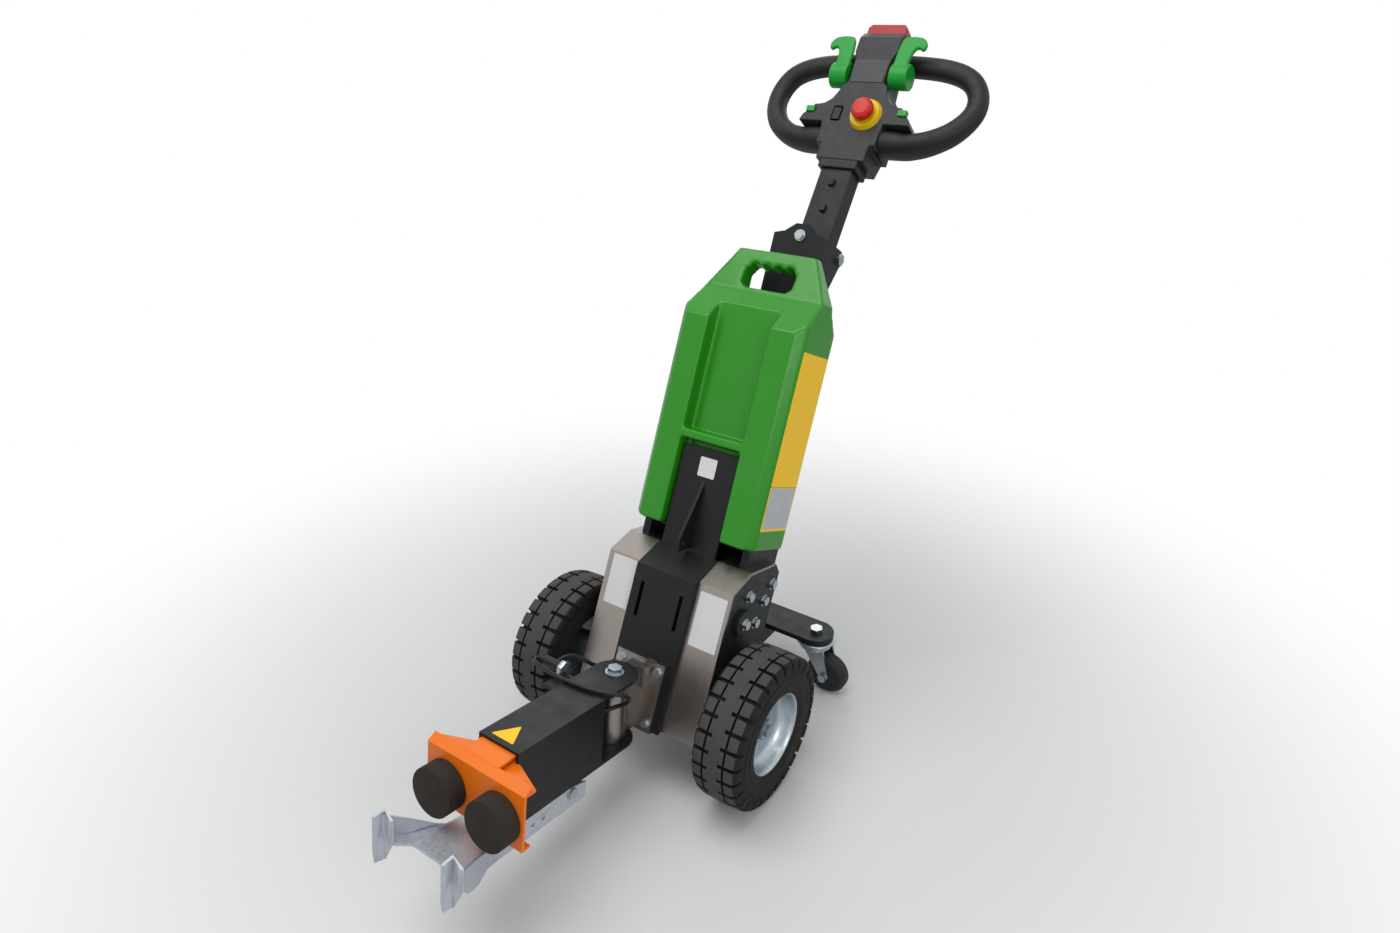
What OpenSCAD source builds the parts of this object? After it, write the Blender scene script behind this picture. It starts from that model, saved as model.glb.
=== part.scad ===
// Pedestrian electric tug: two driven wheels under a leaning chassis, a lift-off battery,
// a tiller with a loop-handled control head, and a draw arm with a bumper and a lifting fork.
// X runs across the machine, -Y to the coupling at the front, +Y to the tiller, Z up.

/* [Stance] */
// Distance from the middle of the whole machine forward to the drive axle
axle_ahead = 114; // [110:1:118]
// Lean of the chassis box, backwards from upright, in degrees
chassis_lean = 25.5; // [24:0.5:27]
// Lean of the battery and the mast, in degrees
deck_lean = 24; // [22:0.5:25]
// Rise of the draw arm towards the front, in degrees
arm_lean = 10.3; // [8:0.1:12]
// Lean of the tiller, in degrees
tiller_lean = 35.5; // [30:0.5:40]

/* [Drive wheels] */
// Diameter over the tread
wheel_d = 260; // [250:1:270]
// Width of a tyre
tyre_w = 85; // [76:1:90]
// Distance between the middles of the two tyres
track_w = 384; // [378:1:400]
// Tread blocks round each shoulder
tread_blocks = 26; // [18:1:32]
// Depth of the tread grooves
tread_h = 7; // [4:0.5:9]
// Width of a tread groove
groove_w = 6; // [4:0.5:8]
// Middle of each round groove from the middle of the tyre
groove_x = 20; // [16:0.5:24]
// Depth of the cuts from a shoulder past its groove
cut_past = 9; // [4:0.5:11]
// Diameter of the rim's lip
rim_d = 134; // [124:1:144]
// Depth of the rim's dish
dish_h = 33; // [24:1:36]
// Thickness of the rim
rim_t = 3; // [2:0.5:4]
// Diameter of the wheel hub
hub_d = 58; // [48:1:66]
// Diameter of the drive shaft
shaft_d = 25; // [20:1:28]

/* [Chassis box] */
// Width over the side plates
box_w = 250; // [240:1:254]
// Thickness of the plates
plate_t = 4; // [3:0.5:5]
// Front plates, ahead of the axle
front_reach = 62; // [60:0.5:66]
// Rear cover, behind the axle
rear_reach = 85.5; // [82:0.5:88]
// Height of the front plates above the axle, along the lean
front_h = 202; // [190:1:210]
// Height of the box at the back of its bevel
bevel_h = 236; // [226:1:242]
// Place of the back of the bevel, ahead of the axle
bevel_reach = 16; // [12:0.5:22]
// Height of the ridge at the top of the box
ridge_h = 250; // [246:1:254]
// Place of the ridge behind the axle
ridge_back = 62; // [54:0.5:68]
// Fall from the ridge to the top of the rear cover
cover_drop = 18; // [12:1:24]
// Clear height under the box
ground_gap = 107; // [100:1:112]
// Width of the front spine
spine_w = 118; // [112:1:122]
// Stand-out of the spine from the front plates
spine_proud = 9; // [6:0.5:11]
// Thickness of the spine's sheet
spine_t = 5; // [4:0.5:6]
// Width of the tongue above the spine
tongue_w = 108; // [96:1:110]
// Height of the tongue above the foot of the battery
tongue_h = 140; // [120:1:146]

/* [Battery deck] */
// Foot of the battery's front, behind the axle
deck_y = 85.5; // [82:0.5:88]
// Foot of the battery's front, above the floor
deck_z = 388.2; // [386:0.2:392]
// Width of the battery
battery_w = 240; // [228:1:250]
// Depth of the battery
battery_depth = 130; // [126:1:132]
// Width of the flat front
battery_face_w = 208; // [196:1:220]
// Height to the top of the handle
battery_h = 487; // [475:1:495]
// Height of the handle above its fold
handle_h = 74; // [68:1:80]
// Height of the sloping shoulder under the handle
shoulder_h = 56; // [50:1:62]
// Width of the handle at the top
handle_top_w = 148; // [136:1:160]
// Width of the handle slot
handle_slot_w = 98; // [86:1:104]
// Height of the handle slot
handle_slot_h = 41; // [34:1:44]
// Width of the recess down the front
recess_w = 118; // [114:1:124]
// Depth of the recess down the front
recess_t = 29; // [26:1:32]
// Wall of the battery case
case_t = 6; // [4:0.5:8]

/* [Mast] */
// Width of the mast
mast_w = 104; // [98:1:108]
// Thickness of the mast's sheet
mast_t = 5; // [4:0.5:6]
// Depth of the mast channel
mast_depth = 40; // [34:1:46]
// Front of the mast behind the battery's front
mast_back = 138; // [136:0.5:142]
// Height of the mast's shoulders above the foot of the battery
mast_h = 532; // [525:1:540]

/* [Rear casters] */
// Diameter of a caster wheel
caster_wheel_d = 80; // [76:1:84]
// Width of a caster wheel
caster_wheel_w = 30; // [24:1:34]
// Distance between the two swivels
caster_track = 298; // [290:1:306]
// Swivels behind the axle
caster_y = 290; // [284:1:296]
// Trail of a caster wheel behind its swivel
caster_trail = 30; // [24:1:32]
// Width of the caster beam
beam_w = 66; // [60:1:70]
// Thickness of the caster beam
beam_t = 10; // [8:1:12]
// Top of the caster beam above the floor
beam_top = 122; // [119:1:125]

/* [Draw arm] */
// Width of the arm
arm_w = 76; // [72:1:80]
// Height of the arm's section
arm_h = 120; // [112:1:124]
// Wall of the arm
arm_t = 5; // [4:0.5:6]
// Top of the arm above the floor at the axle, square to the arm
arm_top = 203.8; // [201:0.2:206]
// Front end of the arm ahead of the axle
arm_front = 407; // [400:1:412]
// Front end of the arm's open throat
throat_front = 224; // [218:1:230]
// Arm pivot ahead of the axle
pivot_w = 158; // [154:1:162]
// Diameter of the arm's pivot bolt
pivot_d = 16; // [14:1:18]
// Bumper face ahead of the axle
bumper_w = 450; // [446:1:456]
// Width of the bumper plate
bumper_span = 184; // [170:1:196]
// Thickness of the bumper plate
bumper_t = 4; // [3:0.5:5]
// Diameter of a rubber buffer
buffer_d = 74; // [66:1:78]
// Thickness of a rubber buffer
buffer_h = 30; // [24:1:34]
// Distance between the two buffers
buffer_gap = 102; // [96:1:106]

/* [Lifting fork] */
// Thickness of the fork's steel
fork_t = 4; // [3:0.5:5]
// Depth of the fork's sides
fork_h = 34; // [30:1:38]
// Fork pivot ahead of the axle
fork_pivot_w = 291; // [288:1:294]
// Place of the fork pivot under the arm
fork_pivot_drop = 9.8; // [9:0.1:11]
// Diameter of the fork's pivot pin
fork_pin_d = 12; // [10:1:14]
// Straight edge of the notch ahead of the axle
notch_w = 516; // [510:1:522]
// Width of the notch
notch_span = 104; // [96:1:110]
// Width of the fork at the posts
fork_span = 160; // [150:1:168]
// Height of the posts
post_h = 71; // [60:1:78]
// Thickness of the posts
post_t = 4; // [3:0.5:5]

/* [Tiller] */
// Width of the tiller tube
tube_w = 60; // [54:1:64]
// Depth of the tiller tube
tube_depth = 40; // [36:1:44]
// Front of the tiller at its middle bolt, behind the axle
tiller_y = 537.5; // [535:0.5:540]
// Height of that bolt above the floor
tiller_z = 891.6; // [888:0.2:895]
// Tiller pivot below that bolt
tiller_pivot_drop = 132; // [129:1:135]
// Diameter of the tiller's pivot bolt
tiller_pin_d = 12; // [10:1:14]
// Diameter of the loop grips
grip_d = 37; // [32:1:40]
// Width over the two loops
loop_span = 427; // [416:1:436]
// Width of the head at its top
head_top_w = 84; // [78:1:90]
// Width of the head at its neck
head_neck_w = 94; // [88:1:98]
// Height of the head's top above the middle bolt
head_top = 298; // [292:1:304]

/* [Controls] */
// Diameter of the emergency stop's yellow base
stop_base_d = 60; // [54:1:64]
// Diameter of the emergency stop's button
stop_d = 40; // [36:1:44]
// Height of the emergency stop's button
stop_h = 17; // [14:1:22]
// Travel of the emergency stop
stop_travel = 4; // [3:0.5:6]
// Travel of the belly button
belly_travel = 8; // [5:0.5:10]
// Travel of the side buttons
side_travel = 2.5; // [1.5:0.5:3]

/* [Hidden] */
$fn = 48;
// Overrun of a cut past the face it leaves
over = 1;
// Running clearance between a shaft and its bore, on the radius
run_gap = 0.05;
// Clearance between parts that move past each other
part_gap = 0.5;
// Clearance between parts that rest on each other and come apart
seat_gap = 0.3;
bolt_d = 10;
bolt_head_h = 6;
axle_z = wheel_d / 2;
arm_z = arm_top - arm_h;

// A point (back, up) given in a frame that leans back, as (y, z)
function lean_out(p, a) = [p[0] * cos(a) + p[1] * sin(a), p[1] * cos(a) - p[0] * sin(a)];
function slab_point(p) = lean_out(p, chassis_lean) + [0, axle_z];
function deck_point(p) = lean_out(p, deck_lean) + [deck_y, deck_z];
// Height along the slab at which the box ends level with the floor
function floor_h(back) = (ground_gap - axle_z + back * sin(chassis_lean)) / cos(chassis_lean);
function unit(v) = v / norm(v);
function right_of(v) = [v[1], -v[0]];
function corner(a, p, b, t) =
    let (na = right_of(unit(p - a)), nb = right_of(unit(b - p)), m = unit(na + nb)) p + m * t / (m * na);
// The path moved to its right by t
function beside(path, t) = let (last = len(path) - 1) [for (i = [0:last])
    i == 0 ? path[0] + t * right_of(unit(path[1] - path[0]))
        : i == last ? path[last] + t * right_of(unit(path[last] - path[last - 1]))
        : corner(path[i - 1], path[i], path[i + 1], t)];
function backwards(path) = [for (i = [len(path) - 1:-1:0]) path[i]];
// The edge view of a folded sheet
function sheet(path, t) = concat(path, backwards(beside(path, t)));

module ground_frame() translate([0, -axle_ahead, 0]) children();
module slab_frame() ground_frame() translate([0, 0, axle_z]) rotate([-chassis_lean, 0, 0]) children();
module deck_frame() ground_frame() translate([0, deck_y, deck_z]) rotate([-deck_lean, 0, 0]) children();
module arm_frame() ground_frame() rotate([-arm_lean, 0, 0]) children();
module tiller_frame() ground_frame() translate([0, tiller_y, tiller_z]) rotate([-tiller_lean, 0, 0]) children();
// A profile in (y, z), thickened from x0 towards +X
module profile(points, x0, w) translate([x0, 0, 0]) rotate([90, 0, 90]) linear_extrude(w) polygon(points);
// An outline in (x, z), thickened from y0 towards +Y
module face(points, y0, t) translate([0, y0 + t, 0]) rotate([90, 0, 0]) linear_extrude(t) polygon(points);
module both_sides() { children(); mirror([1, 0, 0]) children(); }
module block(size, at) translate([at[0] - size[0] / 2, at[1], at[2]]) cube(size);
module rod_x(d, x0, x1) translate([x0, 0, 0]) rotate([0, 90, 0]) cylinder(d = d, h = x1 - x0);
// A ring or disc on X, from its profile of (radius, x)
module turned_x(points) rotate([0, 90, 0]) rotate_extrude($fn = 96) polygon(points);
// Hexagon bolt head with its washer, standing on the face at 0 and facing -Y
module bolt_front(d) {
    rotate([90, 0, 0]) cylinder(d = d * 2, h = d / 6);
    rotate([90, 0, 0]) cylinder(d = d * 1.7, h = d * 0.75, $fn = 6);
}

// Folded front plate of one side, with its bevel over the top
front_path = [[-front_reach, floor_h(-front_reach)], [-front_reach, front_h], [-bevel_reach, bevel_h],
    [ridge_back, ridge_h]];
module front_plate(side) color("gainsboro") slab_frame() mirror([side < 0 ? 1 : 0, 0, 0])
    profile(sheet(front_path, plate_t), spine_w / 2 + seat_gap, (box_w - spine_w) / 2 - seat_gap);
module front_plate_left() front_plate(-1);
module front_plate_right() front_plate(1);

// Side plate inside the front plate's fold, with the axle's hole and a gear lobe's round boss
inner_path = beside(front_path, plate_t);
cover_h = ridge_h - cover_drop;
side_outline = concat(inner_path, [[rear_reach - plate_t, cover_h],
    [rear_reach - plate_t, floor_h(rear_reach - plate_t)]]);
boss_d = 46;
boss_at = [-12, 152];
boss_h = 8;
module side_plate(side) color("dimgray") slab_frame() mirror([side < 0 ? 1 : 0, 0, 0]) {
    difference() {
        profile(side_outline, box_w / 2 - plate_t, plate_t);
        rod_x(axle_tube_d, box_w / 2 - plate_t - over, box_w / 2 + over);
    }
    translate([0, boss_at[0], boss_at[1]]) rod_x(boss_d, box_w / 2, box_w / 2 + boss_h);
}
module side_plate_left() side_plate(-1);
module side_plate_right() side_plate(1);

// Rear cover of the box, from the ridge down to the open foot, with its cooling slots
cover_foot = floor_h(rear_reach) + (beam_top - beam_t - ground_gap) + part_gap * 2;
cover_path = [[rear_reach - plate_t, cover_foot], [rear_reach - plate_t, cover_h],
    inner_path[len(inner_path) - 1]];
cover_slots = 5;
slot_h = 6;
slot_w = 60;
slot_step = 14;
module rear_cover() color("dimgray") slab_frame() difference() {
    profile(sheet(cover_path, plate_t), -box_w / 2, box_w);
    for (i = [0:cover_slots - 1])
        both_sides() block([slot_w / 2, plate_t * 3, slot_h],
            [mast_w / 2 + slot_w / 2, rear_reach - plate_t * 2, cover_h / 2 + slot_step * i]);
}

// Spine folded up the middle of the front, with its tongue in front of the battery and the hook rib
tongue_reach = 12;
tongue_root = 34;
spine_front = -front_reach - spine_proud;
rib_t = 6;
rib_hole_d = 9;
rib_out = 22;
spine_path = [slab_point([spine_front, floor_h(spine_front)]), slab_point([spine_front, front_h - spine_t / 2]),
    deck_point([tongue_reach, -tongue_root]), deck_point([tongue_reach, tongue_h])];
spine_slot_w = 7;
spine_slot_h = 60;
module front_spine() color("darkslategray") ground_frame() difference() {
    union() {
        intersection() {
            profile(sheet(spine_path, spine_t), -spine_w / 2, spine_w);
            union() {
                profile([[-box_w, 0], [box_w, 0], deck_point([box_w, -tongue_root]),
                    deck_point([-box_w, -tongue_root])], -spine_w / 2, spine_w);
                profile([[-box_w, 0], [box_w * 2, 0], [box_w * 2, deck_z * 2], [-box_w, deck_z * 2]],
                    -tongue_w / 2, tongue_w);
            }
        }
        both_sides() translate([0, 0, axle_z]) rotate([-chassis_lean, 0, 0])
            profile([[spine_front + spine_t, floor_h(spine_front + spine_t)],
                [spine_front + spine_t, front_h - spine_t], [-front_reach + plate_t * 2, front_h - spine_t],
                [-front_reach + plate_t * 2, floor_h(-front_reach + plate_t * 2)]],
                spine_w / 2 - spine_t, spine_t);
        translate([0, deck_y, deck_z]) rotate([-deck_lean, 0, 0]) difference() {
            profile([[tongue_reach, -tongue_root + spine_t], [-rib_out, -tongue_root],
                [-rib_out - rib_t / 2, -tongue_root + rib_out], [tongue_reach, tongue_h * 0.62]], -rib_t / 2, rib_t);
            translate([0, -rib_out + rib_hole_d, -tongue_root + rib_hole_d * 1.6])
                rod_x(rib_hole_d, -rib_t, rib_t);
        }
    }
    both_sides() translate([0, 0, axle_z]) rotate([-chassis_lean, 0, 0])
        block([spine_slot_w, spine_t * 3, spine_slot_h],
            [spine_w / 3, spine_front - spine_t, front_h - spine_slot_h * 1.5]);
}

// Rails from the box back to the caster beam, past the foot of the mast
rail_t = 6;
rail_h = 32;
rail_front = 34;
module frame_rail(side) color("dimgray") ground_frame() mirror([side < 0 ? 1 : 0, 0, 0])
    block([rail_t, caster_y + beam_w / 3 - rail_front, rail_h],
        [(mast_w + rail_t) / 2, rail_front, beam_top - beam_t - rail_h]);
module frame_rail_left() frame_rail(-1);
module frame_rail_right() frame_rail(1);

// Flat beam with round ends over the casters
module caster_beam() color("dimgray") ground_frame() translate([0, caster_y, beam_top - beam_t]) difference() {
    union() {
        both_sides() translate([caster_track / 2, 0, 0]) cylinder(d = beam_w, h = beam_t);
        translate([-caster_track / 2, -beam_w / 2, 0]) cube([caster_track, beam_w, beam_t]);
    }
    both_sides() translate([caster_track / 2, 0, -over]) cylinder(d = stem_d, h = beam_t + over * 2);
}

// Mast channel with its gabled top and the ears for the tiller's pivot
mast_low = 268;
ear_r = 16;
gable_share = [[0.5, 0], [0.31, 0.25], [0.12, 1]];
gable_h = 20;
function tiller_pivot() = lean_out([tube_depth / 2, -tiller_pivot_drop], tiller_lean) + [tiller_y, tiller_z];
function to_deck(p) = lean_out(p - [deck_y, deck_z], -deck_lean);
ear_at = to_deck(tiller_pivot());
module mast() color("dimgray") deck_frame() difference() {
    union() {
        face(concat([[mast_w / 2, -mast_low]], [for (g = gable_share) [g[0] * mast_w, mast_h + g[1] * gable_h]],
            [for (g = backwards(gable_share)) [-g[0] * mast_w, mast_h + g[1] * gable_h]],
            [[-mast_w / 2, -mast_low]]), mast_back, mast_t);
        both_sides() {
            profile([[mast_back, -mast_low], [mast_back, mast_h], [ear_at[0], ear_at[1] + ear_r],
                [ear_at[0] + ear_r, ear_at[1]], [ear_at[0] - ear_r / 2, ear_at[1] - ear_r * 3],
                [mast_back + mast_depth, ear_at[1] - ear_r * 5], [mast_back + mast_depth, -mast_low]],
                mast_w / 2 - mast_t, mast_t);
            translate([0, ear_at[0], ear_at[1]]) rod_x(ear_r * 2, mast_w / 2 - mast_t, mast_w / 2);
        }
    }
    translate([0, ear_at[0], ear_at[1]]) rod_x(tiller_pin_d + run_gap * 2, -mast_w, mast_w);
}

// Spacer between the rear cover and the mast
bracket_w = 80;
bracket_h = 34;
bracket_low = 196;
module mast_bracket() color("dimgray") difference() {
    deck_frame() union() {
        block([bracket_w, mast_back, bracket_h], [0, 0, -bracket_low]);
        block([bracket_w, mast_back, bracket_h], [0, 0, -bracket_low + bracket_h * 3]);
    }
    slab_frame() translate([-box_w, rear_reach - box_w * 2, -box_w]) cube([box_w * 2, box_w * 2, box_w * 3]);
}

// Hitch plate on the spine, with the lug that the arm swings on
hitch_w = 97;
hitch_t = 10.5;
hitch_h = 115;
hitch_front = spine_front - hitch_t;
lug_d = 50;
lug_t = 28;
lug_low = arm_z + arm_t + part_gap;
lug_high = arm_top - arm_t - part_gap;
cheek_h = 34;
module hitch_bracket() color("silver") difference() {
    union() {
        slab_frame() block([hitch_w, hitch_t, hitch_h], [0, hitch_front, floor_h(spine_front)]);
        difference() {
            arm_frame() union() {
                translate([0, -pivot_w, lug_low]) cylinder(d = lug_d, h = lug_high - lug_low);
                block([lug_t, pivot_w, lug_high - lug_low], [0, -pivot_w, lug_low]);
                translate([lug_t / 2, -pivot_w + arm_w / 2 + part_gap * 2, arm_top - cheek_h])
                    cube([lug_t / 2, pivot_w, cheek_h]);
            }
            slab_frame() translate([-box_w, hitch_front + hitch_t / 2, -box_w])
                cube([box_w * 2, box_w * 2, box_w * 3]);
        }
    }
    arm_frame() translate([0, -pivot_w, 0]) cylinder(d = pivot_d + run_gap * 2, h = arm_top * 2);
}

// Bolt heads on the hitch plate, the side plates and the mast
hitch_bolt_share = [[0.38, 0.12], [0.38, 0.88]];
side_bolt_x = box_w / 2;
side_bolts = [[-6, 196], [38, 148], [68, 214], [52, 186]];
module chassis_bolts() color("silver") {
    for (s = hitch_bolt_share, side = [-1, 1])
        slab_frame() translate([side * s[0] * hitch_w, hitch_front, floor_h(spine_front) + s[1] * hitch_h])
            bolt_front(bolt_d * 0.8);
    for (b = side_bolts, side = [-1, 1])
        slab_frame() translate([side * side_bolt_x, b[0], b[1]]) rotate([0, 0, side * 90]) bolt_front(bolt_d);
    for (side = [-1, 1]) slab_frame() translate([side * (side_bolt_x + boss_h), boss_at[0], boss_at[1]])
        rotate([0, 0, side * 90]) bolt_front(bolt_d);
    deck_frame() translate([0, mast_back, mast_h]) bolt_front(bolt_d);
}

// Pivot bolt of the arm, through its tongues and the lug
module arm_pivot_bolt() color("silver") arm_frame() translate([0, -pivot_w, 0]) {
    translate([0, 0, arm_z - bolt_head_h]) cylinder(d = pivot_d, h = arm_h + bolt_head_h * 2);
    translate([0, 0, arm_top + seat_gap]) cylinder(d = pivot_d * 1.9, h = bolt_head_h / 3);
    translate([0, 0, arm_top + seat_gap]) cylinder(d = pivot_d * 1.5, h = bolt_head_h * 1.6, $fn = 6);
    translate([0, 0, arm_z - seat_gap - bolt_head_h]) cylinder(d = pivot_d * 1.6, h = bolt_head_h, $fn = 6);
}

// Gear case and axle tubes between the side plates
axle_tube_d = 44;
gear_d = 100;
gear_w = 84;
module transaxle() color("slategray") slab_frame() difference() {
    union() {
        rod_x(axle_tube_d, -box_w / 2, box_w / 2);
        rod_x(gear_d, -gear_w / 2, gear_w / 2);
        cylinder(d = axle_tube_d * 1.4, h = motor_low);
    }
    rod_x(shaft_d + run_gap * 2, -box_w, -gear_w / 3);
    rod_x(shaft_d + run_gap * 2, gear_w / 3, box_w);
}

// Drive motor standing on the gear case, with its brake on top
motor_low = 58;
motor_d = 90;
motor_h = 118;
brake_d = 76;
brake_h = 30;
module drive_motor() color("gray") slab_frame() {
    translate([0, 0, motor_low]) cylinder(d = motor_d, h = motor_h);
    translate([0, 0, motor_low + motor_h]) cylinder(d = brake_d, h = brake_h);
}

// Motor controller on the inside of the rear cover
controller_size = [150, 30, 120];
module motor_controller() color("silver") slab_frame()
    block(controller_size, [0, rear_reach - plate_t - controller_size[1], motor_low + motor_h / 4]);

// Tray and latch bars under the battery
tray_t = 4;
tray_w = 216;
tray_lip = 14;
module battery_tray() color("dimgray") difference() {
    union() {
        deck_frame() block([tray_w, battery_depth - tray_lip, tray_t],
            [0, tray_lip + spine_t, -seat_gap - tray_t]);
        deck_frame() both_sides() block([tray_lip, battery_depth - tray_lip * 2, tongue_root],
            [tray_w / 2 - tray_lip / 2, tray_lip * 2, -seat_gap - tongue_root]);
    }
    slab_frame() profile(concat([[-box_w, floor_h(0)], [-box_w, bevel_h], front_path[2], front_path[3]],
        backwards(beside(cover_path, plate_t))), -box_w, box_w * 2);
}

// Contact block that the battery plugs onto
contact_size = [52, 30, 8];
module contact_block() color("black") deck_frame()
    block(contact_size, [0, battery_depth / 2 - contact_size[1] / 2, -seat_gap]);

// Tyre with rounded shoulders, two round grooves and a row of blocks on each shoulder
wheel_x = track_w / 2;
shoulder_drop_share = [[-0.5, 0.3], [-0.5, 0.12], [-0.44, 0.04], [-0.3, 0.01], [0, 0]];
sidewall_h = (wheel_d - rim_d) / 2;
half_tread = [for (s = shoulder_drop_share) [wheel_d / 2 - s[1] * sidewall_h, s[0] * tyre_w]];
bead_in = 8;
tyre_profile = concat([[rim_d / 2, -tyre_w / 2 + bead_in], [rim_d / 2 + bead_in, -tyre_w / 2 + bead_in / 4]],
    half_tread, [for (p = backwards(half_tread)) [p[0], -p[1]]],
    [[rim_d / 2 + bead_in, tyre_w / 2 - bead_in / 4], [rim_d / 2, tyre_w / 2 - bead_in]]);
module tyre(side) color("darkslategray") ground_frame() translate([side * wheel_x, 0, axle_z]) difference() {
    turned_x([for (p = tyre_profile) [p[0], p[1]]]);
    for (s = [-1, 1]) translate([s * groove_x, 0, 0])
        turned_x([[wheel_d / 2 - tread_h, -groove_w / 2], [wheel_d, -groove_w / 2], [wheel_d, groove_w / 2],
            [wheel_d / 2 - tread_h, groove_w / 2]]);
    for (s = [-1, 1], i = [0:tread_blocks - 1])
        rotate([360 / tread_blocks * (i + (s > 0 ? 0.5 : 0)), 0, 0])
            translate([s > 0 ? groove_x - cut_past : -tyre_w, -groove_w / 2, wheel_d / 2 - tread_h])
                cube([tyre_w - groove_x + cut_past, groove_w, tread_h * 2]);
}
module tyre_left() tyre(-1);
module tyre_right() tyre(1);

// Dished rim, closed towards the outside of the machine by its hub disc
rim_in = tyre_w / 2 - bead_in;
disc_x = tyre_w / 2 - dish_h;
module wheel_rim(side) color("silver") ground_frame() translate([side * wheel_x, 0, axle_z])
    mirror([side < 0 ? 1 : 0, 0, 0]) difference() {
        turned_x([[hub_d / 2, disc_x - rim_t], [rim_d / 2 - rim_t * 3, disc_x - rim_t],
            [rim_d / 2 - rim_t * 3, -rim_in], [rim_d / 2, -rim_in], [rim_d / 2, rim_in],
            [rim_d / 2 + rim_t, rim_in + rim_t], [rim_d / 2 - rim_t, rim_in + rim_t],
            [rim_d / 2 - rim_t * 2, disc_x + rim_t * 2], [rim_d / 2 - rim_t * 4, disc_x],
            [hub_d / 2, disc_x]]);
    }
module wheel_rim_left() wheel_rim(-1);
module wheel_rim_right() wheel_rim(1);

// Hub with its shaft into the axle tube and the bolt that shows in the dish
hub_in = wheel_x - box_w / 2 - plate_t;
module wheel_hub(side) color("dimgray") ground_frame() translate([side * wheel_x, 0, axle_z])
    mirror([side < 0 ? 1 : 0, 0, 0]) {
        rod_x(hub_d, -hub_in, disc_x);
        rod_x(hub_d * 0.6, disc_x, disc_x + dish_h / 3);
        rod_x(bolt_d * 2, disc_x + dish_h / 3, disc_x + dish_h / 3 + bolt_head_h);
        rod_x(shaft_d, -wheel_x + gear_w / 2, -hub_in);
    }
module wheel_hub_left() wheel_hub(-1);
module wheel_hub_right() wheel_hub(1);

// Caster head, legs and axle, with the wheel trailing outwards
stem_d = 12;
head_d = 60;
head_h = 18;
leg_t = 4;
leg_gap = caster_wheel_w / 2 + part_gap * 4;
head_high = beam_top - beam_t - part_gap;
head_low = head_high - head_h;
caster_axle_d = 10;
caster_nut_h = 7;
module caster_fork(side) color("silver") ground_frame()
    translate([side * caster_track / 2, caster_y, 0]) mirror([side < 0 ? 1 : 0, 0, 0]) {
        translate([0, 0, head_low]) cylinder(d = head_d, h = head_h);
        translate([0, 0, head_low]) cylinder(d = stem_d - run_gap * 2, h = beam_top + part_gap - head_low);
        translate([0, 0, beam_top + part_gap]) cylinder(d = stem_d * 2, h = caster_nut_h, $fn = 6);
        for (y = [-leg_gap - leg_t, leg_gap])
            face([[-head_d * 0.3, head_low + leg_t], [head_d * 0.42, head_low + leg_t],
                [caster_trail + caster_axle_d, caster_wheel_d / 2], [caster_trail, caster_wheel_d / 2
                - caster_axle_d], [caster_trail - caster_axle_d, caster_wheel_d / 2]], y, leg_t);
        translate([caster_trail, -leg_gap - leg_t - caster_nut_h, caster_wheel_d / 2]) rotate([-90, 0, 0]) {
            cylinder(d = caster_axle_d, h = (leg_gap + leg_t + caster_nut_h) * 2);
            cylinder(d = caster_axle_d * 1.7, h = caster_nut_h, $fn = 6);
            translate([0, 0, (leg_gap + leg_t) * 2 + caster_nut_h])
                cylinder(d = caster_axle_d * 1.7, h = caster_nut_h, $fn = 6);
        }
    }
module caster_fork_left() caster_fork(-1);
module caster_fork_right() caster_fork(1);

tread_round = 8;
module caster_wheel(side) color("dimgray") ground_frame()
    translate([side * (caster_track / 2 + caster_trail), caster_y, caster_wheel_d / 2]) rotate([90, 0, 0])
        rotate_extrude($fn = 72) polygon([[caster_axle_d / 2 + run_gap, -caster_wheel_w / 2],
            [caster_wheel_d / 2 - tread_round, -caster_wheel_w / 2], [caster_wheel_d / 2,
            tread_round - caster_wheel_w / 2], [caster_wheel_d / 2, caster_wheel_w / 2 - tread_round],
            [caster_wheel_d / 2 - tread_round, caster_wheel_w / 2],
            [caster_axle_d / 2 + run_gap, caster_wheel_w / 2]]);
module caster_wheel_left() caster_wheel(-1);
module caster_wheel_right() caster_wheel(1);

// Box arm with its open throat and two rounded tongues round the pivot, and the ears under it
ear_w = [262, 300];
ear_t = 6;
ear_x = arm_w / 2 - fork_t - part_gap;
ear_drop = 35;
fork_pivot_z = arm_z - fork_pivot_drop;
actuator_in = 27;
actuator_w = arm_front - actuator_in;
actuator_slot = [30, 32];
module draw_arm() color("dimgray") arm_frame() difference() {
    union() {
        translate([-arm_w / 2, -arm_front, arm_z]) cube([arm_w, arm_front - pivot_w, arm_h]);
        translate([0, -pivot_w, arm_z]) cylinder(d = arm_w, h = arm_h);
        for (x = [-ear_x, ear_x - ear_t])
            profile([[-ear_w[1], arm_z], [-ear_w[0], arm_z], [-ear_w[0] - ear_t, arm_z - ear_drop],
                [-ear_w[1] + ear_t, arm_z - ear_drop]], x, ear_t);
    }
    translate([-arm_w / 2 + arm_t, -arm_front - over, arm_z + arm_t])
        cube([arm_w - arm_t * 2, arm_front - throat_front + over * 2, arm_h - arm_t * 2]);
    translate([-arm_w, -throat_front, arm_z + arm_t]) cube([arm_w * 2, throat_front, arm_h - arm_t * 2]);
    translate([0, -pivot_w, arm_z - over]) cylinder(d = pivot_d + run_gap * 2, h = arm_h + over * 2);
    block([actuator_slot[0], actuator_slot[1], arm_t * 2 + over],
        [0, -actuator_w - actuator_slot[1] / 2, arm_z - arm_t]);
    translate([0, -fork_pivot_w, fork_pivot_z]) rod_x(fork_pin_d + run_gap * 2, -arm_w, arm_w);
}

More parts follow.
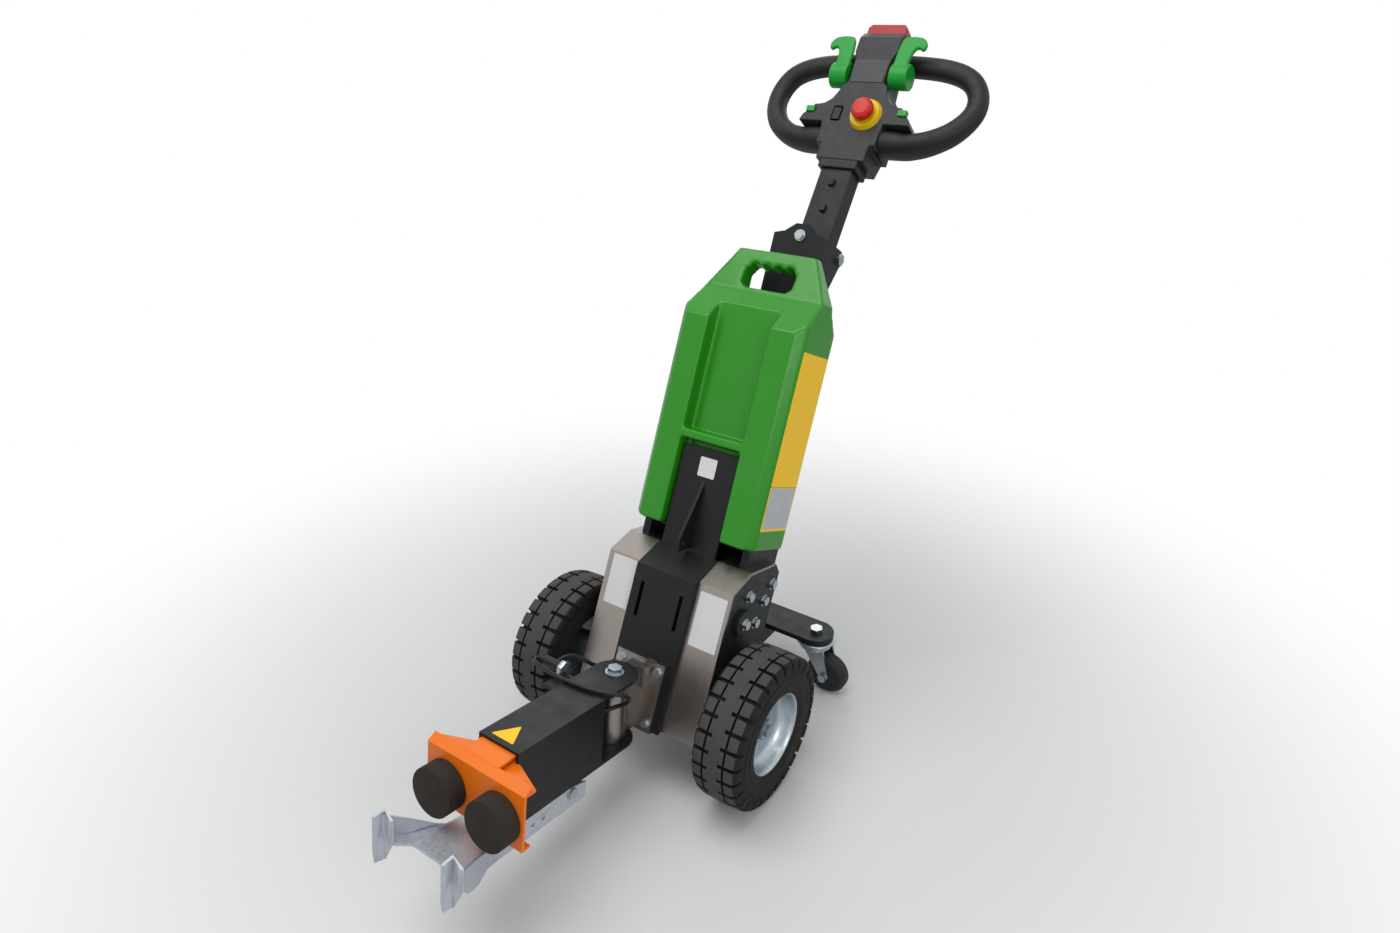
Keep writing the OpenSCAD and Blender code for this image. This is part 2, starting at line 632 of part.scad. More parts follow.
// Bumper plate with its lower lip, sloped top and the neck that goes into the arm
bumper_low = 100;
bumper_high = 186.5;
bumper_lip = 15;
bumper_top_in = 13;
bumper_rise = 9;
neck_w = 64;
neck_in = 20;
bumper_path = [[-bumper_w + bumper_lip, bumper_low], [-bumper_w, bumper_low], [-bumper_w, bumper_high],
    [-bumper_w + bumper_top_in, bumper_high + bumper_rise]];
neck_path = [[-bumper_w + bumper_top_in - over, bumper_high + bumper_rise],
    [-arm_front - bumper_t, arm_top - arm_t - seat_gap], [-arm_front + neck_in, arm_top - arm_t - seat_gap]];
module bumper_plate() color("darkorange") arm_frame() {
    profile(sheet(bumper_path, bumper_t), -bumper_span / 2, bumper_span);
    profile(sheet(neck_path, bumper_t), -neck_w / 2, neck_w);
    both_sides() profile([[-bumper_w + bumper_t, bumper_low + bumper_t], [-bumper_w + bumper_t, bumper_high],
        [-arm_front + neck_in, arm_top - arm_t * 2 - bumper_t], [-arm_front + neck_in, arm_z + arm_t * 2]],
        neck_w / 2 - bumper_t, bumper_t);
}

// Round rubber buffers, dished in the middle
buffer_z = 137;
buffer_bore = 18;
module rubber_buffers() color("black") arm_frame() both_sides()
    translate([buffer_gap / 2, -bumper_w, buffer_z]) rotate([90, 0, 0]) rotate_extrude($fn = 72)
        polygon([[0, 0], [buffer_d / 2, 0], [buffer_d / 2, buffer_h * 0.8], [buffer_d * 0.46, buffer_h],
            [buffer_bore / 2, buffer_h], [buffer_bore / 2, buffer_h * 0.6], [0, buffer_h * 0.6]]);

// Screw heads in the buffers and the screw that holds the cable shelf
module arm_bolts() color("silver") arm_frame() {
    both_sides() translate([buffer_gap / 2, -bumper_w - buffer_h * 0.6, buffer_z]) rotate([90, 0, 0])
        cylinder(d = buffer_bore * 0.7, h = bolt_head_h);
    translate([-arm_w / 2 - shelf_t, -shelf_w[1] + shelf_t * 3, shelf_z - shelf_t * 3.5]) rotate([0, 0, -90])
        bolt_front(bolt_d * 0.6);
}

// Lift actuator inside the arm, with the gearbox at its top
actuator_d = 44;
actuator_lift = 30;
actuator_low = arm_z + arm_t + actuator_lift;
actuator_motor_d = 36;
module actuator_body() color("gray") arm_frame() difference() {
    union() {
        translate([0, -actuator_w, actuator_low]) cylinder(d = actuator_d, h = arm_top - arm_t - bumper_t * 2
            - actuator_low);
        translate([0, -actuator_w + actuator_d * 0.9, actuator_low])
            cylinder(d = actuator_motor_d, h = arm_top - arm_t - actuator_low);
        block([actuator_motor_d, actuator_d, arm_top - arm_t - bumper_t * 2 - actuator_low - actuator_d],
            [0, -actuator_w, actuator_low + actuator_d]);
    }
    translate([0, -actuator_w, actuator_low - over]) cylinder(d = actuator_rod_d + run_gap * 2, h = rod_reach + over);
}

// Rod that works the fork, with its eye left loose round the fork's pin
actuator_rod_d = 14;
rod_reach = 50;
eye_d = 20;
eye_w = 12;
eye_slack = 2.7;
lift_pin_d = 7;
lift_pin_z = arm_z + 11;
module actuator_rod() color("silver") arm_frame() translate([0, -actuator_w, 0]) difference() {
    union() {
        translate([0, 0, lift_pin_z]) cylinder(d = actuator_rod_d, h = actuator_low - lift_pin_z + rod_reach - over * 2);
        translate([0, 0, lift_pin_z]) rod_x(eye_d, -eye_w / 2, eye_w / 2);
    }
    translate([0, 0, lift_pin_z]) rod_x(lift_pin_d + eye_slack * 2, -eye_w, eye_w);
}

post_low = 57;
post_x = [-82, -53, -80];
post_w = [-530, -538, -551];
post_step = 132.5;
post_cut = 21;
post_cut_h = 17;

// Fork: folded channel that hangs on its pin under the arm and widens to the notch
fork_rear = 258;
fork_flare = 455;
fork_bend = 10;
fork_top = arm_z - part_gap;
lug_plate_t = 4;
lug_plate_gap = eye_w / 2 + part_gap * 2;
lug_plate_h = 16;
fork_side = [[arm_w / 2, -fork_rear], [arm_w / 2, -fork_flare], [fork_span / 2, -notch_w + fork_bend]];
fork_holes = [[371, 17], [350, 18]];
// Front edge of a horn at x, along the back of the post that stands dx to the right of the left one
function horn_front(x, dx) = post_w[0] + (x - post_x[0] - dx) * (post_w[1] - post_w[0]) / (post_x[1] - post_x[0]);
fork_plan = concat(fork_side, [[fork_span / 2, horn_front(fork_span / 2, post_step)],
    [notch_span / 2, horn_front(notch_span / 2, post_step)], [notch_span / 2 - fork_bend, -notch_w],
    [fork_bend - notch_span / 2, -notch_w], [-notch_span / 2, horn_front(-notch_span / 2, 0)],
    [-fork_span / 2, horn_front(-fork_span / 2, 0)]], [for (p = backwards(fork_side)) [-p[0], p[1]]]);
side_end = [fork_span / 2, -notch_w - fork_bend];
module lift_fork() color("silver") arm_frame() {
    difference() {
        union() {
            translate([0, 0, fork_top - fork_t]) linear_extrude(fork_t) polygon(fork_plan);
            both_sides() translate([0, 0, fork_top - fork_h]) linear_extrude(fork_h)
                polygon(sheet(concat(fork_side, [side_end]), fork_t));
            both_sides() translate([0, -fork_pivot_w, fork_pivot_z])
                rod_x(fork_pin_d * 1.6, arm_w / 2 - fork_t, arm_w / 2);
        }
        both_sides() for (h = fork_holes) translate([0, -h[0], arm_z - h[1]]) rod_x(bolt_d * 0.8, 0, arm_w);
        block([ear_x * 2 + part_gap, ear_w[1] - ear_w[0] + fork_bend * 2, fork_t * 3],
            [0, -ear_w[1] - fork_bend, fork_top - fork_t * 2]);
        translate([0, -fork_pivot_w, fork_pivot_z]) rod_x(fork_pin_d + run_gap * 2, -arm_w, arm_w);
        rear_relief();
    }
    for (x = [-lug_plate_gap - lug_plate_t, lug_plate_gap])
        profile([[-actuator_w - lug_plate_h / 2, fork_top - fork_t], [-actuator_w + lug_plate_h / 2,
            fork_top - fork_t], [-actuator_w + lug_plate_h / 3, lift_pin_z + lift_pin_d],
            [-actuator_w - lug_plate_h / 3, lift_pin_z + lift_pin_d]], x, lug_plate_t);
    translate([0, -actuator_w, lift_pin_z])
        rod_x(lift_pin_d, -lug_plate_gap - lug_plate_t / 2, lug_plate_gap + lug_plate_t / 2);
}
module rear_relief() profile([[-fork_rear + over, fork_top - fork_pivot_drop * 0.8],
    [-fork_rear + over, fork_top + fork_t], [-fork_pivot_w, fork_top + fork_t], [-fork_pivot_w, fork_top
    - fork_pivot_drop * 0.05]], -arm_w, arm_w * 2);

// Pin through the ears and the fork's sides
pin_head_h = 5;
module fork_pin() color("silver") arm_frame() translate([0, -fork_pivot_w, fork_pivot_z]) {
    rod_x(fork_pin_d, -arm_w / 2 - pin_head_h, arm_w / 2 + pin_head_h);
    both_sides() translate([arm_w / 2 + seat_gap, 0, 0]) rotate([0, 90, 0])
        cylinder(d = fork_pin_d * 1.6, h = pin_head_h, $fn = 6);
}

// Angle posts on the fork's horns, cut slanting at the foot
module post() difference() {
    linear_extrude(post_h) polygon([[post_x[0], post_w[0]], [post_x[1], post_w[1]],
        [post_x[1] - post_t / 4, post_w[1] - post_t], [post_x[0] + post_t * 1.2, post_w[0] - post_t * 0.8],
        [post_x[2] + post_t, post_w[2]], [post_x[2], post_w[2]]]);
    profile([[post_w[2] - over, -over], [post_w[2] + post_cut, -over], [post_w[2] - over, post_cut_h]],
        post_x[0] - over, post_h);
}
module fork_posts() color("silver") arm_frame() for (dx = [0, post_step]) translate([dx, 0, post_low]) post();

// Shelf on the arm's left side with the gland that the actuator's lead comes through
shelf_t = 3;
shelf_w = [196, 248];
shelf_out = 34;
shelf_z = arm_top - 12;
gland_w = 206;
gland_z = arm_top + 1;
gland_d = 17;
gland_h = 30;
gland_nut_d = 22;
gland_nut_h = 12;
gland_x = -arm_w / 2 - shelf_out;
module cable_connector() color("black") arm_frame() {
    translate([gland_x, -shelf_w[1], shelf_z - shelf_t]) cube([shelf_out, shelf_w[1] - shelf_w[0], shelf_t]);
    translate([-arm_w / 2 - shelf_t, -shelf_w[1], shelf_z - shelf_t * 6])
        cube([shelf_t, shelf_w[1] - throat_front, shelf_t * 6]);
    translate([0, -gland_w, gland_z]) rod_x(gland_d, gland_x - gland_h, gland_x);
    translate([gland_x, -gland_w - gland_d / 4, shelf_z - shelf_t])
        cube([shelf_t, gland_d / 2, gland_z - shelf_z + shelf_t]);
    translate([gland_x, -gland_w, gland_z]) rotate([0, 90, 0]) cylinder(d = gland_nut_d, h = gland_nut_h, $fn = 6);
}

// Leads: a round tube swept along the route's points, in the arm's frame as (x, back, up)
lead_d = 7;
lead_sides = 8;
actuator_route = [[-102, -206, 205], [-110, -206, 205], [-116, -213, 206], [-112, -222, 207], [-98, -228, 208],
    [-80, -231, 208], [-60, -233, 208], [-38, -233, 208], [-15, -231, 208], [5, -228, 208], [24, -222, 208],
    [40, -214, 208], [50, -203, 205], [53, -192, 198], [50, -183, 188], [42, -180, 176], [30, -186, 168],
    [20, -200, 164], [10, -220, 162], [0, -245, 162], [0, -275, 162], [0, -305, 162], [0, -322, 162]];
swing_route = [[-86, -197, 205], [-86, -188, 205], [-86, -176, 205], [-80, -162, 203], [-70, -152, 197],
    [-60, -142, 188], [-55, -128, 180], [-54, -110, 176], [-54, -86, 174]];
function along(route, i) = unit(route[min(i + 1, len(route) - 1)] - route[max(i - 1, 0)]);
function ring(route, i, d, sides) = let (t = along(route, i), a = unit(cross(t, [0.3, 0.2, 1])), b = cross(t, a))
    [for (k = [0:sides - 1]) route[i] + d / 2 * (a * cos(360 * k / sides) + b * sin(360 * k / sides))];
module swept(route, d, sides) {
    n = len(route);
    polyhedron([for (i = [0:n - 1]) each ring(route, i, d, sides)],
        concat([[for (k = [0:sides - 1]) k]],
            [for (i = [0:n - 2], k = [0:sides - 1]) let (m = (k + 1) % sides, r = i * sides)
                each [[r + k, r + sides + k, r + sides + m], [r + k, r + sides + m, r + m]]],
            [[for (k = [sides - 1:-1:0]) (n - 1) * sides + k]]));
}
module actuator_lead() color("black") arm_frame() swept(actuator_route, lead_d, lead_sides);
module swing_lead() color("black") arm_frame() swept(swing_route, lead_d, lead_sides);

// Battery case: side, front and plan outlines together, with its recess, window, slot and cell bay
battery_fold_h = battery_h - handle_h;
battery_face_h = battery_fold_h - shoulder_h;
face_in = 16;
handle_back = 95;
handle_reach = 73;
fold_reach = 54;
fold_w = battery_w * 0.953;
back_low = 10;
back_fall = battery_fold_h - back_low * 0.7;
side_profile = [[0, 0], [0, battery_face_h], [fold_reach, battery_fold_h], [handle_reach, battery_h],
    [handle_back, battery_h], [handle_back + seat_gap * 10, back_fall], [battery_depth, battery_face_h],
    [battery_depth, back_low], [battery_depth - back_low, 0]];
front_half = [[battery_w / 2, 0], [battery_w / 2, battery_face_h], [fold_w / 2, battery_fold_h],
    [handle_top_w / 2, battery_h]];
plan_half = [[battery_face_w / 2, 0], [battery_w / 2, face_in], [battery_w / 2, battery_depth - face_in],
    [battery_w / 2 - face_in / 2, battery_depth]];
function mirrored(half) = concat(half, [for (p = backwards(half)) [-p[0], p[1]]]);
window_h = 151;
band_h = 15;
slot_low = 8;
bay = [battery_w - case_t * 3, battery_depth - recess_t - case_t * 2, battery_face_h - case_t * 3];
slot_lean = atan((handle_reach - fold_reach) / (battery_h - battery_fold_h));
finger_r = 11;
module battery_case() color("limegreen") deck_frame() difference() {
    intersection() {
        profile(side_profile, -battery_w, battery_w * 2);
        face(mirrored(front_half), -battery_w, battery_w * 2);
        linear_extrude(battery_h) polygon(mirrored(plan_half));
    }
    block([recess_w, recess_t + over, window_h + over], [0, -over, -over]);
    block([recess_w, recess_t + over, battery_h], [0, -over, window_h + band_h]);
    translate([0, fold_reach, battery_fold_h]) rotate([-slot_lean, 0, 0]) {
        block([handle_slot_w - finger_r, battery_depth, handle_slot_h], [0, -battery_depth / 2, slot_low]);
        block([handle_slot_w, battery_depth, handle_slot_h - finger_r], [0, -battery_depth / 2,
            slot_low + finger_r / 2]);
        for (i = [-1.5:1.5]) translate([i * finger_r * 2, -battery_depth / 2, slot_low + handle_slot_h - finger_r / 2])
            rotate([-90, 0, 0]) cylinder(r = finger_r, h = battery_depth);
    }
    block(bay, [0, recess_t + case_t, case_t]);
    translate([0, battery_depth / 2 - contact_size[1] / 2 - seat_gap, -over])
        block([contact_size[0] + part_gap * 2, contact_size[1] + seat_gap * 2, case_t + over * 2], [0, 0, 0]);
}

// Two battery blocks in the case
block_share = [0.815, 0.865];
block_size = [bay[0] * block_share[0], bay[1] * block_share[1], (bay[2] - contact_size[2]) / 2 - case_t];
module battery_blocks() color("dimgray") deck_frame() for (i = [0, 1])
    block(block_size, [0, recess_t + case_t, case_t + contact_size[2] + i * (block_size[2] + part_gap)]);

// Tiller tube with its clamp bolts, open at the foot
tube_low = 158;
tube_high = 60;
tube_t = 3;
clamp_bolts = [0, -50];
module tiller_tube() color("dimgray") tiller_frame() {
    difference() {
        block([tube_w, tube_depth, tube_low + tube_high], [0, 0, -tube_low]);
        block([tube_w - tube_t * 2, tube_depth - tube_t * 2, tube_low + tube_high], [0, tube_t, -tube_low - over]);
        translate([0, tube_depth / 2, -tiller_pivot_drop]) rod_x(tiller_pin_d + run_gap * 2, -tube_w, tube_w);
    }
    for (v = clamp_bolts) translate([0, 0, v]) rotate([90, 0, 0]) cylinder(d1 = bolt_d * 1.6, d2 = bolt_d, h = bolt_head_h);
}

// Bolt through the mast's ears, with sleeves that fill the gap to the tube
module tiller_pivot_bolt() color("silver") ground_frame() translate([0, tiller_pivot()[0], tiller_pivot()[1]]) {
    rod_x(tiller_pin_d, -mast_w / 2 - seat_gap, mast_w / 2 + seat_gap);
    both_sides() {
        rod_x(tiller_pin_d * 1.8, tube_w / 2 + seat_gap, mast_w / 2 - mast_t);
        translate([mast_w / 2 + seat_gap, 0, 0]) rotate([0, 90, 0]) cylinder(d = tiller_pin_d * 1.8, h = bolt_head_h, $fn = 6);
    }
}

// Head: moulded body with two wings that carry the loops
grip_back = 40;
head_depth = 76;
head_proud = 5;
head_foot = 44;
head_round = 14;
wing_back = grip_back + grip_d * 0.55;
wing_back_front = head_round;
wing_low = 64;
wing_in = 96;
wing_out = 110;
wing_mid = 112;
wing_top = 128;
waist_low = 195;
waist_high = 239;
waist_w = 70;
head_half = [[head_neck_w / 2, head_foot], [head_neck_w / 2, wing_low], [wing_in, wing_low], [wing_out, wing_mid],
    [wing_out - part_gap * 12, wing_top], [head_neck_w * 0.6, waist_low - head_round], [waist_w / 2, waist_low],
    [waist_w / 2, waist_high], [head_top_w * 0.54, waist_high + head_round * 2], [head_top_w / 2, head_top]];
head_side = [[-head_proud, head_foot], [-head_proud, head_top - head_round], [head_round / 3, head_top],
    [head_depth - head_round * 1.5, head_top], [head_depth - head_round, waist_high],
    [head_depth - head_proud, waist_low], [head_depth - head_proud, wing_low + head_round / 2],
    [head_depth - head_round, head_foot]];
stop_at = [22, 132];
stop_base_h = 8;
stop_stem_d = 22;
stop_reach = 30;
belly_w = 76;
belly_depth = 44;
belly_h = 22;
belly_in = 2;
belly_y = 8;
belly_pin_d = 8;
belly_pin_h = 30;
paddle_z = 214;
paddle_y = 8;
paddle_shaft_d = 10;
paddle_hub_d = 26;
side_button_at = [90, 138];
side_button_size = [16, 10, 10];
rocker_at = [-36, 132];
rocker_size = [14, 10, 22];
rocker_deep = 3;
rocker_room = 2;
rocker_taper = 2.5;
rocker_barrel_d = 13;
module button_pocket(at, size, gap) block([size[0] + gap * 2, size[1] + over + gap, size[2] + gap * 2],
    [at[0], -head_proud - over, at[1] - size[2] / 2 - gap]);
body_half = [for (p = head_half) [min(p[0], head_neck_w * 0.62), p[1]]];
wing_side = [[wing_back_front, wing_low], [-head_proud, wing_mid], [-head_proud, waist_low], [wing_back, waist_low],
    [wing_back, wing_low]];
module control_head() color("dimgray") tiller_frame() difference() {
    intersection() {
        face(mirrored(head_half), -head_depth, head_depth * 3);
        union() {
            intersection() {
                profile(head_side, -loop_span, loop_span * 2);
                face(mirrored(body_half), -head_depth, head_depth * 3);
            }
            profile(wing_side, -loop_span / 2, loop_span);
        }
    }
    block([tube_w, tube_depth, tube_high - head_foot + over], [0, 0, head_foot - over]);
    translate([stop_at[0], -head_proud - over, stop_at[1]]) rotate([-90, 0, 0])
        cylinder(d = stop_stem_d + run_gap * 2, h = stop_reach + stop_travel + over);
    translate([0, paddle_y, paddle_z]) rod_x(paddle_shaft_d + run_gap * 2, -waist_w, waist_w);
    block([belly_w + part_gap * 2, belly_depth + part_gap * 2, belly_h],
        [0, belly_y - part_gap, head_top - belly_in - belly_travel - part_gap]);
    both_sides() translate([belly_w / 3, belly_y + belly_depth / 2, head_top - belly_pin_h - belly_travel * 2])
        cylinder(d = belly_pin_d + run_gap * 2, h = belly_pin_h * 2);
    for (side = [-1, 1]) button_pocket([side * side_button_at[0], side_button_at[1]],
        side_button_size + [0, side_travel + part_gap, 0], part_gap);
    button_pocket(rocker_at, rocker_size + [0, rocker_deep, rocker_room], part_gap);
}

// Block that clamps the head on the tube
neck_w2 = 75;
neck_low = 28;
neck_wall = 6;
module neck_block() color("black") tiller_frame() difference() {
    block([neck_w2, tube_depth + neck_wall * 2, head_foot - neck_low], [0, -neck_wall, neck_low]);
    block([tube_w, tube_depth, head_foot], [0, 0, neck_low - over]);
}

// Loop grips: bars bent through rounded corners, from the head's shoulder round to its wing
grip_out = (loop_span - grip_d) / 2;
grip_points = [[waist_w * 0.3, 252], [grip_out * 0.9, 247], [grip_out * 1.06, 176], [grip_out * 0.84, 84],
    [waist_w * 0.3, 84]];
grip_radii = [0, 56, 60, 52, 0];
grip_sides = 20;
grip_turn = 9;
function heading(route, i) = unit(route[i + 1] - route[i]);
function bend(route, i) = let (a = heading(route, i - 1), b = heading(route, i))
    atan2(a[0] * b[1] - a[1] * b[0], a * b);
function arc(route, radii, i) = let (go = heading(route, i - 1), turn = bend(route, i), way = sign(turn),
    steps = ceil(abs(turn) / grip_turn), from = route[i] - go * radii[i] * tan(abs(turn) / 2),
    middle = from + radii[i] * way * [-go[1], go[0]], start = atan2(from[1] - middle[1], from[0] - middle[0]))
    [for (k = [0:steps]) middle + radii[i] * [cos(start + turn * k / steps), sin(start + turn * k / steps)]];
function rounded(route, radii) = [for (i = [0:len(route) - 1]) each radii[i] == 0 ? [route[i]]
    : arc(route, radii, i)];
module bent_bar(route, radii, d) swept([for (p = rounded(route, radii)) [p[0], 0, p[1]]], d, grip_sides);
module grip_loop(side) color("black") tiller_frame() mirror([side < 0 ? 1 : 0, 0, 0]) difference() {
    translate([0, grip_back, 0]) bent_bar(grip_points, grip_radii, grip_d);
    face(mirrored(head_half), -head_depth, head_depth * 3);
}
module grip_loop_left() grip_loop(-1);
module grip_loop_right() grip_loop(1);

// Emergency stop: yellow base, red mushroom on its stem
module stop_base() color("gold") tiller_frame() translate([stop_at[0], -head_proud, stop_at[1]]) rotate([90, 0, 0])
    difference() {
        cylinder(d1 = stop_base_d, d2 = stop_base_d * 0.88, h = stop_base_h);
        translate([0, 0, -over]) cylinder(d = stop_stem_d + run_gap * 2, h = stop_base_h + over * 2);
    }
module stop_button() color("red") tiller_frame() translate([stop_at[0], -head_proud - stop_base_h, stop_at[1]])
    rotate([90, 0, 0]) {
        translate([0, 0, -stop_reach]) cylinder(d = stop_stem_d, h = stop_reach + stop_travel + part_gap);
        translate([0, 0, stop_travel + part_gap]) rotate_extrude($fn = 72)
            polygon([[0, 0], [stop_d * 0.42, 0], [stop_d / 2, stop_h * 0.15], [stop_d / 2, stop_h * 0.55],
                [stop_d * 0.45, stop_h * 0.8], [stop_d * 0.33, stop_h * 0.95], [0, stop_h]]);
    }

// Blank plate on the front of the head
plate_w = [63, 68];
name_t = 1.2;
module name_plate() color("gray") tiller_frame()
    face([[-plate_w[0] / 2, waist_low], [plate_w[0] / 2, waist_low], [plate_w[1] / 2, waist_high],
        [-plate_w[1] / 2, waist_high]], -head_proud - name_t, name_t);

// Thumb paddles on one shaft through the head
blade = [[37, 204], [60, 192], [69, 202], [76, 236], [98, 268], [93, 280], [80, 277], [60, 250], [37, 226]];
blade_y = [-10, 2];
module thumb_paddles() color("green") tiller_frame() {
    translate([0, paddle_y, paddle_z]) rod_x(paddle_shaft_d, -blade[1][0], blade[1][0]);
    both_sides() difference() {
        union() {
            translate([0, paddle_y, paddle_z]) rod_x(paddle_hub_d, blade[0][0], blade[1][0]);
            face(blade, blade_y[0], blade_y[1] - blade_y[0]);
        }
    }
}

// Belly button on two guide pins
module belly_button() color("red") tiller_frame() {
    difference() {
        block([belly_w, belly_depth, belly_h], [0, belly_y, head_top - belly_in]);
        for (x = [-1, 1]) translate([x * belly_w / 2, belly_y - over, head_top + belly_h - belly_in])
            rotate([0, 45, 0]) cube([belly_in * 4, belly_depth * 3, belly_in * 4], center = true);
    }
    both_sides() translate([belly_w / 3, belly_y + belly_depth / 2, head_top - belly_in - belly_pin_h])
        cylinder(d = belly_pin_d, h = belly_pin_h);
}

// Side buttons in the wings, and the rocker
module side_button(side) color("green") tiller_frame()
    block(side_button_size, [side * side_button_at[0], -head_proud - side_travel - part_gap,
        side_button_at[1] - side_button_size[2] / 2]);
module side_button_left() side_button(-1);
module side_button_right() side_button(1);
module rocker_switch() color("black") tiller_frame() {
    translate([0, -head_proud + rocker_size[1] / 2, rocker_at[1]])
        profile([[-rocker_size[1] / 2, -rocker_size[2] / 2], [-rocker_size[1] / 2, rocker_size[2] / 2],
            [rocker_size[1] / 2, rocker_size[2] / 2 - rocker_taper],
            [rocker_size[1] / 2, rocker_taper - rocker_size[2] / 2]],
            rocker_at[0] - rocker_size[0] / 2, rocker_size[0]);
    intersection() {
        translate([rocker_at[0], 0, rocker_at[1]])
            rod_x(rocker_barrel_d, -rocker_size[0] / 2, rocker_size[0] / 2);
        block(rocker_size, [rocker_at[0], 0, rocker_at[1] - rocker_size[2] / 2]);
    }
}

front_spine();
front_plate_left();
front_plate_right();
side_plate_left();
side_plate_right();
rear_cover();
frame_rail_left();
frame_rail_right();
caster_beam();
mast();
mast_bracket();
hitch_bracket();
chassis_bolts();
arm_pivot_bolt();
transaxle();
drive_motor();
motor_controller();
battery_tray();
contact_block();
tyre_left();
tyre_right();
wheel_rim_left();
wheel_rim_right();
wheel_hub_left();
wheel_hub_right();
caster_fork_left();
caster_fork_right();
caster_wheel_left();
caster_wheel_right();
draw_arm();
bumper_plate();
rubber_buffers();
arm_bolts();
actuator_body();
cable_connector();
actuator_lead();
swing_lead();
lift_fork();
fork_posts();
fork_pin();
actuator_rod();
battery_case();
battery_blocks();
tiller_tube();
tiller_pivot_bolt();
control_head();
neck_block();
grip_loop_left();
grip_loop_right();
stop_base();
stop_button();
name_plate();
thumb_paddles();
belly_button();
side_button_left();
side_button_right();
rocker_switch();
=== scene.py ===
# Looks of a walk behind electric tug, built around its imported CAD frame
import math

import bmesh
import bpy
from mathutils import Matrix, Vector


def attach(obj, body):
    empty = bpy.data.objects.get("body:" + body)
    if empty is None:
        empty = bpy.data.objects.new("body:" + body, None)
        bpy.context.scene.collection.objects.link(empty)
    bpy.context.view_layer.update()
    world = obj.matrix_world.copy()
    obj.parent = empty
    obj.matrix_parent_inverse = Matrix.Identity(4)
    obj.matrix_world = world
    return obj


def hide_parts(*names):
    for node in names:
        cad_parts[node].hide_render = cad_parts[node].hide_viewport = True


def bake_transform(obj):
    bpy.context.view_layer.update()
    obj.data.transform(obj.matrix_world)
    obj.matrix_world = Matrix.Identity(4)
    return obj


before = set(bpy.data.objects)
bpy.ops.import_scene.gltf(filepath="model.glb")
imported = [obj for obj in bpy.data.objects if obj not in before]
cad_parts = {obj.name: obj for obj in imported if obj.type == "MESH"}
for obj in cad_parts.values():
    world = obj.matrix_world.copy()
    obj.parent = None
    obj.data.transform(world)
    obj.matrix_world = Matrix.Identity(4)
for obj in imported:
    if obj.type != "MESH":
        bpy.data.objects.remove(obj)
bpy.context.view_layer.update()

MM = 0.001

# Local frames of the machine's leaning groups, as the CAD has them: metres and degrees from upright

SHIFT = -0.114  # The drive axle lies this far in front of the frame's origin


def leaning(y, z, degrees):
    return Matrix.Translation((0, y, z)) @ Matrix.Rotation(-math.radians(degrees), 4, "X")


SLAB = leaning(SHIFT, 0.13, 25.5)  # Front plates of the chassis
DECK = leaning(0.0855 + SHIFT, 0.3882, 24)  # Battery and the tongue behind its front
ARM = leaning(SHIFT, 0, 10.3)  # Draw arm and fork
TILLER = leaning(0.5375 + SHIFT, 0.8916, 35.5)  # Tiller and its control head
AXLE = Vector((0, SHIFT, 0.13))
WHEEL_X = 0.192  # Middle of each drive wheel along the axle

# Materials

COLOUR_A, COLOUR_B, COLOUR_OUT = 6, 7, 2  # Sockets of a Mix node that mixes colours
NOISE_LOW, NOISE_HIGH = 0.3, 0.7  # Noise mostly stays between these


def linear(code):
    # A colour written as sRGB hex, in the renderer's linear values
    channels = [int(code[i:i + 2], 16) / 255 for i in (1, 3, 5)]
    return tuple(c / 12.92 if c <= 0.04045 else ((c + 0.055) / 1.055) ** 2.4 for c in channels) + (1,)


def per(size_mm):
    # Pattern scale for a feature of that real size
    return 1 / (size_mm * MM)


def add(mat, kind, values=None, links=None, **settings):
    # Adds a node with its settings, socket values and links
    made = mat.node_tree.nodes.new(kind)
    for name, value in settings.items():
        setattr(made, name, value)
    for socket, value in (values or {}).items():
        made.inputs[socket].default_value = value
    for socket, source in (links or {}).items():
        mat.node_tree.links.new(source, made.inputs[socket])
    return made


def material(name, **values):
    # A material with its shader, and the piece's own coordinates for its patterns
    mat = bpy.data.materials.new(name)
    mat.use_nodes = True
    mat.node_tree.nodes.clear()
    place = add(mat, "ShaderNodeTexCoord").outputs["Object"]
    shader = add(mat, "ShaderNodeBsdfPrincipled", values)
    add(mat, "ShaderNodeOutputMaterial", links={"Surface": shader.outputs["BSDF"]})
    return mat, shader, place


def wire(mat, shader, colour, rough, normal):
    # Joins a finish's three patterns to its shader
    for socket, source in (("Base Color", colour.outputs[COLOUR_OUT]), ("Roughness", rough.outputs["Result"]),
                           ("Normal", normal.outputs["Normal"])):
        mat.node_tree.links.new(source, shader.inputs[socket])


